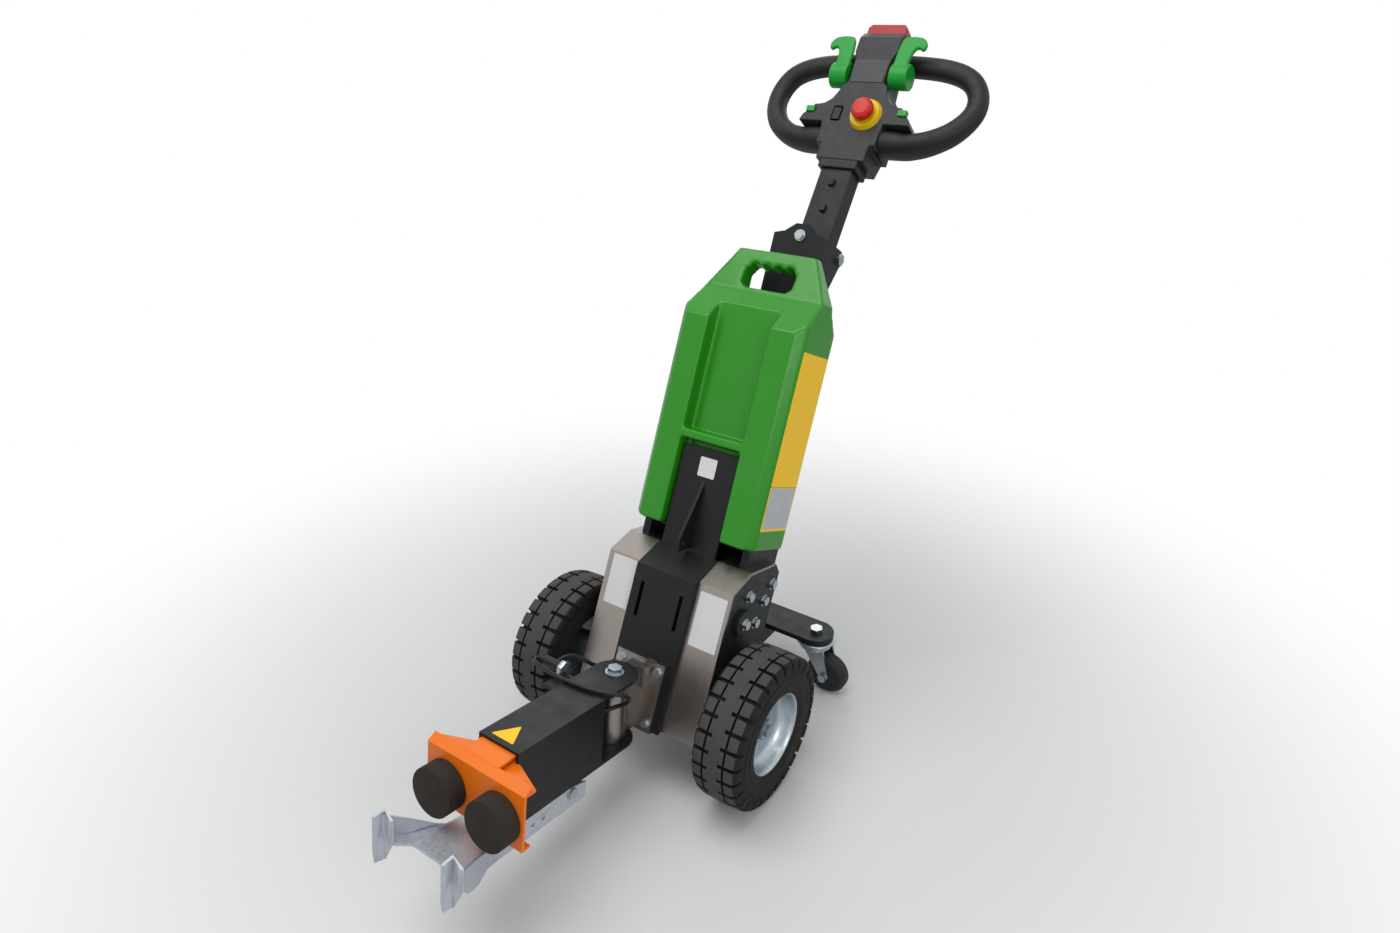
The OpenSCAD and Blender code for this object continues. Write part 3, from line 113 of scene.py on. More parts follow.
def powder_coat(name, low, high, rough, sheen=0.25):
    # Powder coating: melted grains leave a fine orange peel that breaks up the highlights
    mat, shader, place = material(name, **{"IOR": 1.5, "Specular IOR Level": sheen})
    drift = add(mat, "ShaderNodeTexNoise", {"Scale": per(90), "Detail": 2.0}, {"Vector": place})
    colour = add(mat, "ShaderNodeMix", {COLOUR_A: linear(low), COLOUR_B: linear(high)},
                 {0: drift.outputs["Fac"]}, data_type="RGBA")
    flow = add(mat, "ShaderNodeTexNoise", {"Scale": per(25), "Detail": 2.0}, {"Vector": place})
    gloss = add(mat, "ShaderNodeMapRange", {"From Min": NOISE_LOW, "From Max": NOISE_HIGH,
                                            "To Min": rough - 0.05, "To Max": rough + 0.07},
                {"Value": flow.outputs["Fac"]})
    peel = add(mat, "ShaderNodeTexNoise", {"Scale": per(1.6), "Detail": 1.0}, {"Vector": place})
    skin = add(mat, "ShaderNodeBump", {"Distance": 0.05 * MM, "Strength": 0.5},
               {"Height": peel.outputs["Fac"]})
    wire(mat, shader, colour, gloss, skin)
    return mat


def moulded(name, low, high, rough, grain_mm, depth_mm, sheen=0.3):
    # Moulded plastic: the tool's blasted grain shows as a fine even relief, with a slow drift in gloss
    mat, shader, place = material(name, **{"IOR": 1.49, "Specular IOR Level": sheen})
    drift = add(mat, "ShaderNodeTexNoise", {"Scale": per(70), "Detail": 2.0}, {"Vector": place})
    colour = add(mat, "ShaderNodeMix", {COLOUR_A: linear(low), COLOUR_B: linear(high)},
                 {0: drift.outputs["Fac"]}, data_type="RGBA")
    flow = add(mat, "ShaderNodeTexNoise", {"Scale": per(14), "Detail": 2.0}, {"Vector": place})
    gloss = add(mat, "ShaderNodeMapRange", {"From Min": NOISE_LOW, "From Max": NOISE_HIGH,
                                            "To Min": rough - 0.04, "To Max": rough + 0.06},
                {"Value": flow.outputs["Fac"]})
    grain = add(mat, "ShaderNodeTexNoise", {"Scale": per(grain_mm), "Detail": 2.0}, {"Vector": place})
    skin = add(mat, "ShaderNodeBump", {"Distance": depth_mm * MM, "Strength": 0.5},
               {"Height": grain.outputs["Fac"]})
    wire(mat, shader, colour, gloss, skin)
    return mat


def plated(name, low, high, rough, cloud_mm):
    # Electroplated or anodised metal: bright, with soft clouds where the bath took unevenly
    mat, shader, place = material(name, Metallic=1.0)
    cloud = add(mat, "ShaderNodeTexNoise", {"Scale": per(cloud_mm), "Detail": 3.0}, {"Vector": place})
    colour = add(mat, "ShaderNodeMix", {COLOUR_A: linear(low), COLOUR_B: linear(high)},
                 {0: cloud.outputs["Fac"]}, data_type="RGBA")
    haze = add(mat, "ShaderNodeTexNoise", {"Scale": per(cloud_mm / 3), "Detail": 2.0}, {"Vector": place})
    gloss = add(mat, "ShaderNodeMapRange", {"From Min": NOISE_LOW, "From Max": NOISE_HIGH,
                                            "To Min": rough - 0.04, "To Max": rough + 0.08},
                {"Value": haze.outputs["Fac"]})
    pits = add(mat, "ShaderNodeTexNoise", {"Scale": per(0.8), "Detail": 2.0}, {"Vector": place})
    skin = add(mat, "ShaderNodeBump", {"Distance": 0.01 * MM, "Strength": 0.4},
               {"Height": pits.outputs["Fac"]})
    wire(mat, shader, colour, gloss, skin)
    return mat


def galvanised(name, low, high, rough, spangle_mm):
    # Galvanised sheet: crystals of zinc, drawn as faint flakes that each reflect a little differently
    mat, shader, place = material(name, Metallic=0.6)
    flakes = add(mat, "ShaderNodeTexVoronoi", {"Scale": per(spangle_mm)}, {"Vector": place})
    tone = add(mat, "ShaderNodeSeparateColor", links={0: flakes.outputs["Color"]})
    colour = add(mat, "ShaderNodeMix", {COLOUR_A: linear(low), COLOUR_B: linear(high)},
                 {0: tone.outputs[0]}, data_type="RGBA")
    gloss = add(mat, "ShaderNodeMapRange", {"To Min": rough - 0.05, "To Max": rough + 0.08},
                {"Value": tone.outputs[1]})
    ripple = add(mat, "ShaderNodeTexNoise", {"Scale": per(2.5), "Detail": 3.0}, {"Vector": place})
    skin = add(mat, "ShaderNodeBump", {"Distance": 0.02 * MM, "Strength": 0.4},
               {"Height": ripple.outputs["Fac"]})
    wire(mat, shader, colour, gloss, skin)
    return mat


def brushed(name, low, high, rough, stretch):
    # Brushed stainless sheet: long fine scratches run one way and smear the reflections across them
    mat, shader, place = material(name, Metallic=1.0)
    stretched = add(mat, "ShaderNodeMapping", {"Scale": stretch}, {"Vector": place})
    streak = add(mat, "ShaderNodeTexNoise", {"Scale": per(1.2), "Detail": 4.0},
                 {"Vector": stretched.outputs["Vector"]})
    colour = add(mat, "ShaderNodeMix", {COLOUR_A: linear(low), COLOUR_B: linear(high)},
                 {0: streak.outputs["Fac"]}, data_type="RGBA")
    gloss = add(mat, "ShaderNodeMapRange", {"From Min": NOISE_LOW, "From Max": NOISE_HIGH,
                                            "To Min": rough - 0.04, "To Max": rough + 0.06},
                {"Value": streak.outputs["Fac"]})
    fine = add(mat, "ShaderNodeTexNoise", {"Scale": per(0.6), "Detail": 2.0},
               {"Vector": stretched.outputs["Vector"]})
    skin = add(mat, "ShaderNodeBump", {"Distance": 0.01 * MM, "Strength": 0.4},
               {"Height": fine.outputs["Fac"]})
    wire(mat, shader, colour, gloss, skin)
    return mat


def vulcanised(name, low, high, rough, grit_mm, depth_mm):
    # Vulcanised rubber: dull, with a dusty bloom in patches and a fine pitted skin
    mat, shader, place = material(name, **{"IOR": 1.52, "Specular IOR Level": 0.22})
    bloom = add(mat, "ShaderNodeTexNoise", {"Scale": per(45), "Detail": 4.0}, {"Vector": place})
    colour = add(mat, "ShaderNodeMix", {COLOUR_A: linear(low), COLOUR_B: linear(high)},
                 {0: bloom.outputs["Fac"]}, data_type="RGBA")
    patch = add(mat, "ShaderNodeTexNoise", {"Scale": per(20), "Detail": 2.0}, {"Vector": place})
    gloss = add(mat, "ShaderNodeMapRange", {"From Min": NOISE_LOW, "From Max": NOISE_HIGH,
                                            "To Min": rough - 0.06, "To Max": rough + 0.08},
                {"Value": patch.outputs["Fac"]})
    grit = add(mat, "ShaderNodeTexNoise", {"Scale": per(grit_mm), "Detail": 3.0}, {"Vector": place})
    skin = add(mat, "ShaderNodeBump", {"Distance": depth_mm * MM, "Strength": 0.6},
               {"Height": grit.outputs["Fac"]})
    wire(mat, shader, colour, gloss, skin)
    return mat


def cast(name, low, high, rough):
    # Painted sand casting: the mould's sand leaves a coarse pebbled skin under the paint
    mat, shader, place = material(name, **{"IOR": 1.5, "Specular IOR Level": 0.3})
    drift = add(mat, "ShaderNodeTexNoise", {"Scale": per(35), "Detail": 3.0}, {"Vector": place})
    colour = add(mat, "ShaderNodeMix", {COLOUR_A: linear(low), COLOUR_B: linear(high)},
                 {0: drift.outputs["Fac"]}, data_type="RGBA")
    flow = add(mat, "ShaderNodeTexNoise", {"Scale": per(12), "Detail": 2.0}, {"Vector": place})
    gloss = add(mat, "ShaderNodeMapRange", {"From Min": NOISE_LOW, "From Max": NOISE_HIGH,
                                            "To Min": rough - 0.08, "To Max": rough + 0.08},
                {"Value": flow.outputs["Fac"]})
    sand = add(mat, "ShaderNodeTexNoise", {"Scale": per(1.8), "Detail": 3.0}, {"Vector": place})
    skin = add(mat, "ShaderNodeBump", {"Distance": 0.15 * MM, "Strength": 0.7},
               {"Height": sand.outputs["Fac"]})
    wire(mat, shader, colour, gloss, skin)
    return mat


def film(name, low, high):
    # Printed vinyl film: flat and even, with a faint ripple from being rubbed down by hand
    mat, shader, place = material(name, **{"IOR": 1.46, "Specular IOR Level": 0.3})
    drift = add(mat, "ShaderNodeTexNoise", {"Scale": per(30), "Detail": 1.0}, {"Vector": place})
    colour = add(mat, "ShaderNodeMix", {COLOUR_A: linear(low), COLOUR_B: linear(high)},
                 {0: drift.outputs["Fac"]}, data_type="RGBA")
    gloss = add(mat, "ShaderNodeMapRange", {"To Min": 0.3, "To Max": 0.42}, {"Value": drift.outputs["Fac"]})
    rubbed = add(mat, "ShaderNodeTexNoise", {"Scale": per(6), "Detail": 2.0}, {"Vector": place})
    skin = add(mat, "ShaderNodeBump", {"Distance": 0.03 * MM, "Strength": 0.3},
               {"Height": rubbed.outputs["Fac"]})
    wire(mat, shader, colour, gloss, skin)
    return mat


# Each finish has its name, darkest and lightest colour and roughness, then where it has them the size and
# depth of its grain in millimetres and its sheen
black_coat = powder_coat("black_powder_coat", "#121314", "#1a1b1d", 0.42)
orange_coat = powder_coat("orange_powder_coat", "#f07008", "#fa7e12", 0.34, 0.4)
stainless = brushed("brushed_stainless", "#8f8883", "#a09994", 0.32, (1.0, 0.05, 0.05))
zinc = plated("zinc_plated_steel", "#a2abb1", "#b8c1c7", 0.3, 14)
hub_zinc = plated("zinc_plated_casting", "#8f9498", "#a4a9ad", 0.42, 10)
fork_sheet = galvanised("galvanised_sheet", "#b8bdc6", "#c4c9d1", 0.42, 3)
cast_housing = cast("painted_aluminium_casting", "#34363a", "#424447", 0.55)
controller_case = plated("anodised_aluminium", "#85898c", "#95999c", 0.4, 30)
tyre_rubber = vulcanised("tyre_rubber", "#161617", "#201f1f", 0.78, 0.7, 0.06)
tread_rubber = vulcanised("dusty_tread_rubber", "#434241", "#504e4c", 0.85, 0.7, 0.08)
caster_rubber = vulcanised("caster_rubber", "#242526", "#2f3031", 0.65, 0.8, 0.05)
buffer_rubber = vulcanised("buffer_rubber", "#29231f", "#38312c", 0.82, 1.1, 0.1)
cable_sheath = moulded("cable_sheath", "#131314", "#19191a", 0.42, 0.8, 0.02)
grip_skin = moulded("soft_grip_skin", "#151516", "#1c1c1d", 0.5, 0.9, 0.05)
black_abs = moulded("black_abs", "#151617", "#1b1c1d", 0.45, 0.7, 0.03)
head_abs = moulded("dark_grey_abs", "#27282a", "#2d2e30", 0.46, 0.8, 0.05)
plate_abs = moulded("satin_plate", "#303233", "#373939", 0.36, 0.9, 0.02)
green_case = moulded("green_polyethylene", "#22870e", "#278e13", 0.22, 9.0, 0.02, 0.4)
green_nylon = moulded("green_nylon", "#108f2c", "#179832", 0.36, 1.0, 0.03)
yellow_abs = moulded("yellow_abs", "#dfb606", "#e8c20c", 0.33, 1.0, 0.02)
red_abs = moulded("red_abs", "#a0141b", "#ac1a20", 0.3, 1.0, 0.02)
stop_red = moulded("red_mushroom_cap", "#c01e10", "#cb2817", 0.26, 1.0, 0.02)
white_film = film("white_vinyl_film", "#d6d6d5", "#dededd")
yellow_film = film("yellow_vinyl_film", "#fcc80a", "#ffd014")
silver_film = film("silver_vinyl_film", "#b0b3b7", "#bdc0c3")

# Finish of each CAD node, also of those that a fuller form replaces further down
FINISHES = {
    black_coat: ["front_spine", "side_plate_left", "side_plate_right", "rear_cover", "frame_rail_left",
                 "frame_rail_right", "caster_beam", "mast", "draw_arm", "tiller_tube", "drive_motor",
                 "battery_tray"],
    stainless: ["front_plate_left", "front_plate_right", "hitch_bracket"],
    zinc: ["chassis_bolts", "arm_pivot_bolt", "arm_bolts", "fork_pin", "actuator_rod", "tiller_pivot_bolt",
           "wheel_rim_left", "wheel_rim_right", "caster_fork_left", "caster_fork_right"],
    fork_sheet: ["lift_fork", "fork_posts"],
    hub_zinc: ["wheel_hub_left", "wheel_hub_right"],
    cast_housing: ["transaxle", "actuator_body"],
    controller_case: ["motor_controller"],
    tyre_rubber: ["tyre_left", "tyre_right"],
    caster_rubber: ["caster_wheel_left", "caster_wheel_right"],
    buffer_rubber: ["rubber_buffers"],
    orange_coat: ["bumper_plate"],
    cable_sheath: ["actuator_lead", "swing_lead"],
    grip_skin: ["grip_loop_left", "grip_loop_right"],
    black_abs: ["mast_bracket", "contact_block", "cable_connector", "battery_blocks", "neck_block",
                "rocker_switch"],
    head_abs: ["control_head"],
    plate_abs: ["name_plate"],
    green_case: ["battery_case"],
    green_nylon: ["thumb_paddles", "side_button_left", "side_button_right"],
    yellow_abs: ["stop_base"],
    red_abs: ["belly_button"],
    stop_red: ["stop_button"],
}
for finish, nodes in FINISHES.items():
    for node in nodes:
        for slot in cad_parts[node].material_slots:
            slot.material = finish

# Helpers for new pieces


def mesh_of(shape, name="part"):
    # Turns a form under construction into a mesh, and lets go of the form
    mesh = bpy.data.meshes.new(name)
    shape.to_mesh(mesh)
    shape.free()
    return mesh


def put_in(name, data):
    # An object in the scene that holds that mesh, curve, lamp or camera
    made = bpy.data.objects.new(name, data)
    bpy.context.collection.objects.link(made)
    return made


def final_mesh(rough, name="part"):
    # The object's mesh with its modifiers applied; the object itself goes
    mesh = bpy.data.meshes.new_from_object(rough.evaluated_get(bpy.context.evaluated_depsgraph_get()))
    mesh.name = name
    bpy.data.objects.remove(rough)
    return mesh


def finished(name, mesh, finishes, body, replaced=(), angle=35):
    # Brings a finished mesh into the scene: edges under that angle are smooth
    for finish in finishes:
        mesh.materials.append(finish)
    mesh.polygons.foreach_set("use_smooth", [True] * len(mesh.polygons))
    mesh.set_sharp_from_angle(angle=math.radians(angle))
    made = put_in(name, mesh)
    if body:
        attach(made, body)
    if replaced:
        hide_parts(*replaced)
    return made


def bring(name, shape, finishes, body, replaced=(), angle=35):
    # Brings a form in as it is
    finished(name, mesh_of(shape, name), finishes, body, replaced, angle)


def join(whole, part):
    # Puts one form into another
    mesh = mesh_of(part)
    whole.from_mesh(mesh)
    bpy.data.meshes.remove(mesh)


def ring_of(shape, profile, steps=96, angle=360, start=0):
    # Turns a closed outline of (x, radius) points in millimetres about the X axis
    turn = Matrix.Rotation(math.radians(start), 4, "X")
    corners = [shape.verts.new(turn @ Vector((x * MM, 0, r * MM))) for x, r in profile]
    whole = angle == 360
    if whole:
        edges = [shape.edges.new((a, b)) for a, b in zip(corners, corners[1:] + corners[:1])]
        geometry = corners + edges
    else:
        face = shape.faces.new(corners)
        geometry = [face] + list(face.edges) + corners
    bmesh.ops.spin(shape, geom=geometry, cent=(0, 0, 0), axis=(1, 0, 0), angle=math.radians(angle),
                   steps=steps, use_merge=whole)


def rounded(shape, edges, width_mm, segments=2):
    # Takes the sharpness off those edges
    bmesh.ops.bevel(shape, geom=edges, offset=width_mm * MM, offset_type="OFFSET", segments=segments,
                    profile=0.5, affect="EDGES", material=-1, clamp_overlap=True)


def creases(shape, degrees=25):
    # The edges at which the form turns by more than that angle
    return [e for e in shape.edges if len(e.link_faces) == 2 and e.calc_face_angle(0) > math.radians(degrees)]


def box(shape, size_mm, at_mm, matrix):
    # A block of that size with its middle at that point
    scale = Matrix.Diagonal(Vector([s * MM for s in size_mm] + [1]))
    bmesh.ops.create_cube(shape, size=1, matrix=matrix @ Matrix.Translation(Vector(at_mm) * MM) @ scale)


def disc(shape, radius_mm, depth_mm, at_mm, axis, matrix=Matrix.Identity(4), sides=48):
    # A round or many-sided boss of that depth with its middle at that point
    turn = Vector(axis).to_track_quat("Z", "Y").to_matrix().to_4x4()
    radius = radius_mm * MM
    bmesh.ops.create_cone(shape, cap_ends=True, segments=sides, radius1=radius, radius2=radius,
                          depth=depth_mm * MM, matrix=matrix @ Matrix.Translation(Vector(at_mm) * MM) @ turn)


def copy_of(node):
    # A CAD node's form, with its loose triangles merged
    shape = bmesh.new()
    shape.from_mesh(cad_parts[node].data)
    bmesh.ops.remove_doubles(shape, verts=shape.verts, dist=0.01 * MM)
    return shape


def softened(name, shape, finish, body, replaced, grid_mm, passes, keep=1.0):
    # A moulded form, whose edges take the soft radius that a mould leaves
    mesh = mesh_of(shape)
    rough = put_in(name, mesh)
    grid = rough.modifiers.new("grid", "REMESH")
    grid.mode = "VOXEL"
    grid.voxel_size = grid_mm * MM
    ease = rough.modifiers.new("ease", "SMOOTH")
    ease.factor = 0.5
    ease.iterations = passes
    if keep < 1:
        thin = rough.modifiers.new("thin", "DECIMATE")
        thin.ratio = keep
    done = final_mesh(rough, name)
    bpy.data.meshes.remove(mesh)
    done.materials.clear()
    finished(name, done, [finish], body, replaced, angle=60)


def cut(shape, cutter):
    # Takes one closed form out of another
    whole, waste = put_in("part", mesh_of(shape)), put_in("part", mesh_of(cutter))
    knife = whole.modifiers.new("knife", "BOOLEAN")
    knife.operation = "DIFFERENCE"
    knife.object = waste
    used = [whole.data, waste.data]
    done = final_mesh(whole)
    left = bmesh.new()
    left.from_mesh(done)
    bpy.data.objects.remove(waste)
    for mesh in used + [done]:
        bpy.data.meshes.remove(mesh)
    return left


def slab_of(shape, outline_mm, depth_mm, matrix, axis="Y"):
    # A plate with that outline in the plane across the axis, from one depth to the other along it
    low, high = depth_mm
    if axis == "Y":
        corners = [Vector((x, low, z)) for x, z in outline_mm]
        way = Vector((0, high - low, 0))
    elif axis == "X":
        corners = [Vector((low, y, z)) for y, z in outline_mm]
        way = Vector((high - low, 0, 0))
    else:
        corners = [Vector((x, y, low)) for x, y in outline_mm]
        way = Vector((0, 0, high - low))
    face = shape.faces.new([shape.verts.new(matrix @ (corner * MM)) for corner in corners])
    made = bmesh.ops.extrude_face_region(shape, geom=[face])
    top = [g for g in made["geom"] if isinstance(g, bmesh.types.BMVert)]
    bmesh.ops.translate(shape, verts=top, vec=matrix.to_3x3() @ (way * MM))
    bmesh.ops.recalc_face_normals(shape, faces=shape.faces)


def both(points):
    # An outline's right half, and the same mirrored
    return points + [(-x, y) for x, y in reversed(points)]


def edges_along(shape, way):
    # The edges that run that way
    return [e for e in shape.edges
            if abs((e.verts[1].co - e.verts[0].co).normalized().dot(way.normalized())) > 0.99]


def along(matrix, x, y, z):
    # A way in a leaning frame, given in millimetres, as the scene has it
    return matrix.to_3x3() @ Vector((x * MM, y * MM, z * MM))


def eased(points, steps=4):
    # A smooth curve through the points
    ends = [points[0] * 2 - points[1]] + points + [points[-1] * 2 - points[-2]]
    line = []
    for a, b, c, d in zip(ends, ends[1:], ends[2:], ends[3:]):
        for k in range(steps):
            t = k / steps
            line.append((b * 2 + (c - a) * t + (a * 2 - b * 5 + c * 4 - d) * t ** 2
                         + (b * 3 - a - c * 3 + d) * t ** 3) / 2)
    return line + [points[-1]]


def placed(at_mm, half_mm, ahead, across, matrix):
    # Frame of one ring on a path: its middle, its two half widths and the way that the path runs
    way = ahead.normalized()
    deep = (across - way * across.dot(way)).normalized()
    side = deep.cross(way)
    turn = Matrix((side * half_mm[0], deep * half_mm[1], way * half_mm[0])).transposed().to_4x4()
    return matrix @ Matrix.Translation(at_mm * MM) @ turn @ Matrix.Scale(MM, 4)


def swept(shape, stations, matrix, across, sides, squareness):
    # A bar along a smooth path, whose section changes: each station is (x, y, z, half width, half depth).
    # The depth runs across; a squareness of 2 makes an oval and more makes its corners fuller
    line = eased([Vector(station) for station in stations], 3)
    ring = last = None
    for i, station in enumerate(line):
        ahead = line[min(i + 1, len(line) - 1)] - line[max(i - 1, 0)]
        here = placed(Vector(station[:3]), station[3:], Vector(ahead[:3]), Vector(across), matrix)
        if ring is None:
            made = bmesh.ops.create_circle(shape, segments=sides, radius=1)
            for vert in made["verts"]:
                c, k = vert.co, squareness
                vert.co /= (abs(c.x) ** k + abs(c.y) ** k) ** (1 / k)
            bmesh.ops.transform(shape, verts=made["verts"], matrix=here)
            ring = list(dict.fromkeys(e for v in made["verts"] for e in v.link_edges))
            ends = list(ring)
        else:
            made = bmesh.ops.extrude_edge_only(shape, edges=ring)["geom"]
            bmesh.ops.transform(shape, verts=[g for g in made if isinstance(g, bmesh.types.BMVert)],
                                matrix=here @ last.inverted())
            ring = [g for g in made if isinstance(g, bmesh.types.BMEdge) and len(g.link_faces) == 1]
        last = here
    bmesh.ops.holes_fill(shape, edges=ends + ring, sides=0)
    bmesh.ops.recalc_face_normals(shape, faces=shape.faces)


# Drive tyres: a smooth crown band with nicked edges and a row of lugs down each shoulder

LUGS = 29
PITCH = 360 / LUGS
TYRE_STEPS = 104
CARCASS = [(34.4, 67.2), (38.5, 69.5), (41.2, 76), (42.3, 84), (42.3, 86), (41.5, 87.5), (42.2, 96),
           (42.3, 98.5), (41.2, 100), (41.0, 108), (38.6, 116), (34.5, 121.4), (22.9, 122.6)]
TREAD_FLOOR = [(17.4, 122.4), (-17.4, 122.4)]
CROWN = [(9.2, 122.2), (9.2, 129.9), (5, 130.0), (-5, 130.0), (-9.2, 129.9), (-9.2, 122.2)]
CROWN_EDGE = [(9.1, 122.2), (17.0, 122.2), (17.0, 129.5), (9.1, 129.8)]
LUG = [(20.2, 121.8), (20.2, 129.4), (31, 128.9), (37.2, 127.2), (40.2, 124.0), (41.9, 118.5), (42.4, 109.5),
       (40.6, 108.5), (38.2, 115.5), (34.0, 121.0)]
# Each raised part of the tread: its outline, its share of the pitch and the radius of its edges
TREAD_PARTS = ((CROWN_EDGE, 0.8, 0.5), (LUG, 0.79, 0.9))
DUSTY_FROM = 128 * MM  # Rubber that meets the floor lies outside this radius, and is dusty


def treaded_tyre(name, side, body, replaced):
    shape = bmesh.new()
    mirror = [(-x, r) for x, r in reversed(CARCASS)]
    ring_of(shape, CARCASS + TREAD_FLOOR + mirror, TYRE_STEPS)
    ring_of(shape, CROWN, TYRE_STEPS)
    for i in range(LUGS):
        for out in (1, -1):
            turned = PITCH * (i + (0.5 if out > 0 else 0))
            for outline, share, edge_mm in TREAD_PARTS:
                part = bmesh.new()
                ring_of(part, [(out * x, r) for x, r in outline], 4, PITCH * share,
                        turned + PITCH * (1 - share) / 2)
                bmesh.ops.recalc_face_normals(part, faces=part.faces)
                rounded(part, creases(part), edge_mm)
                join(shape, part)
    bmesh.ops.recalc_face_normals(shape, faces=shape.faces)
    for face in shape.faces:
        middle = face.calc_center_median()
        outward = Vector((0, middle.y, middle.z)).normalized()
        face.material_index = int(face.normal.dot(outward) > 0.9 and middle.yz.length > DUSTY_FROM)
    bmesh.ops.translate(shape, verts=shape.verts, vec=Vector((side * WHEEL_X, 0, 0)) + AXLE)
    bring(name, shape, [tyre_rubber, tread_rubber], body, replaced)


for side, word in ((-1, "left"), (1, "right")):
    treaded_tyre("treaded_tyre_" + word, side, "drive_wheel_" + word, ["tyre_" + word])

# Wheel rims: pressed dish with rolled lips, and carriage bolts round the hub

RIM = [(36.8, 70.6), (37.7, 69.6), (37.2, 67.6), (34.8, 65.4), (29, 64.2), (23, 62.6), (17.5, 60.6),
       (12.6, 57), (9.8, 50), (9.2, 40), (9.2, 29.2), (6.6, 29.2), (6.6, 41), (7.2, 51.5), (9.6, 59.5),
       (8, 63.4), (-20, 64.2), (-34.6, 65.6), (-37.2, 68), (-37.6, 69.8), (-36.6, 70.6), (-34.6, 67.1),
       (-20, 66.2), (20, 66.2), (34.6, 67.1)]
RIM_BOLTS = 4
BOLT_CIRCLE_R = 43
NUT_R, NUT_HIGH, NUT_X = 6.5, 4.4, 11.2
WASHER_R, WASHER_HIGH, WASHER_X = 8.2, 1.0, 9.6


def dished_rim(name, side, body, replaced):
    shape = bmesh.new()
    ring_of(shape, [(side * x, r) for x, r in RIM])
    bmesh.ops.recalc_face_normals(shape, faces=shape.faces)
    for k in range(RIM_BOLTS):
        a = math.radians(45 + 360 / RIM_BOLTS * k)
        y, z = BOLT_CIRCLE_R * math.cos(a), BOLT_CIRCLE_R * math.sin(a)
        disc(shape, NUT_R, NUT_HIGH, (side * NUT_X, y, z), (side, 0, 0), sides=6)
        disc(shape, WASHER_R, WASHER_HIGH, (side * WASHER_X, y, z), (side, 0, 0), sides=24)
    bmesh.ops.translate(shape, verts=shape.verts, vec=Vector((side * WHEEL_X, 0, 0)) + AXLE)
    bring(name, shape, [zinc], body, replaced)


for side, word in ((-1, "left"), (1, "right")):
    dished_rim("dished_rim_" + word, side, "drive_wheel_" + word, ["wheel_rim_" + word])

# Moulded pieces get the rounded edges of their moulds

softened("battery_shell", copy_of("battery_case"), green_case, "battery", ["battery_case"],
         grid_mm=2.0, passes=22, keep=0.45)
softened("neck_moulding", copy_of("neck_block"), black_abs, "tiller", ["neck_block"],
         grid_mm=1.3, passes=4, keep=0.5)
softened("belly_pad", copy_of("belly_button"), red_abs, "belly", ["belly_button"],
         grid_mm=0.9, passes=7)

# Control head: the moulded shell with straight column sides and hollowed shoulders

HEAD_FRONT = -4.9
HEAD_THROUGH = (-40, 120)  # A cut this deep goes right through the head
SHOULDER = [(41.3, 310), (41.6, 236), (42.5, 202), (46, 179), (54, 162), (66, 152.5), (80, 149), (150, 149),
            (150, 310)]
COLUMN = [(41, 190), (40.5, 240), (40.2, 255)]
FRONT_WALL = [(40.2, 250), (39.5, 300)]
# Blocks by size and middle: what the shell loses round the sleeves and beside the neck
UNDER_SLEEVE = ((100, 200, 82), (110, 30, 75))
BESIDE_NECK = ((100, 200, 40), (97, 30, 54))
# The core between the sleeves, and room for the rocker and for the belly pad's full stroke
CORE = ((112, 54, 44), (0, 31, 94))
ROCKER_POCKET = ((18, 20, 28), (-36, 0, 132))
BELLY_POCKET = ((79.6, 47, 60), (0, 30, 313.5))
GUIDE_X = 25.33
GUIDE_HOLE_R, GUIDE_HOLE_DEEP = 5.8, 60

head = copy_of("control_head")
for out in (1, -1):
    waste = bmesh.new()
    slab_of(waste, [(out * x, z) for x, z in SHOULDER], HEAD_THROUGH, TILLER)
    head = cut(head, waste)
for out in (1, -1):
    for size, (x, y, z) in (UNDER_SLEEVE, BESIDE_NECK):
        waste = bmesh.new()
        box(waste, size, (out * x, y, z), TILLER)
        head = cut(head, waste)
walls = bmesh.new()
slab_of(walls, both(COLUMN), (HEAD_FRONT, 44), TILLER)
slab_of(walls, both(FRONT_WALL), (HEAD_FRONT, 6), TILLER)
join(head, walls)
core = bmesh.new()
box(core, *CORE, TILLER)
rounded(core, creases(core, degrees=60), width_mm=13, segments=4)
join(head, core)
for pocket in (ROCKER_POCKET, BELLY_POCKET):
    waste = bmesh.new()
    box(waste, *pocket, TILLER)
    head = cut(head, waste)
# The belly pad's two guide pins run in these holes
for x in (-GUIDE_X, GUIDE_X):
    waste = bmesh.new()
    disc(waste, GUIDE_HOLE_R, GUIDE_HOLE_DEEP, (x, 30, 262), (0, 0, 1), TILLER, sides=32)
    head = cut(head, waste)
softened("head_shell", head, head_abs, "tiller", ["control_head"],
         grid_mm=1.3, passes=4, keep=0.6)

# Grips: a deep oval sleeve at the core that runs out into a round bar and back up to the paddle drum

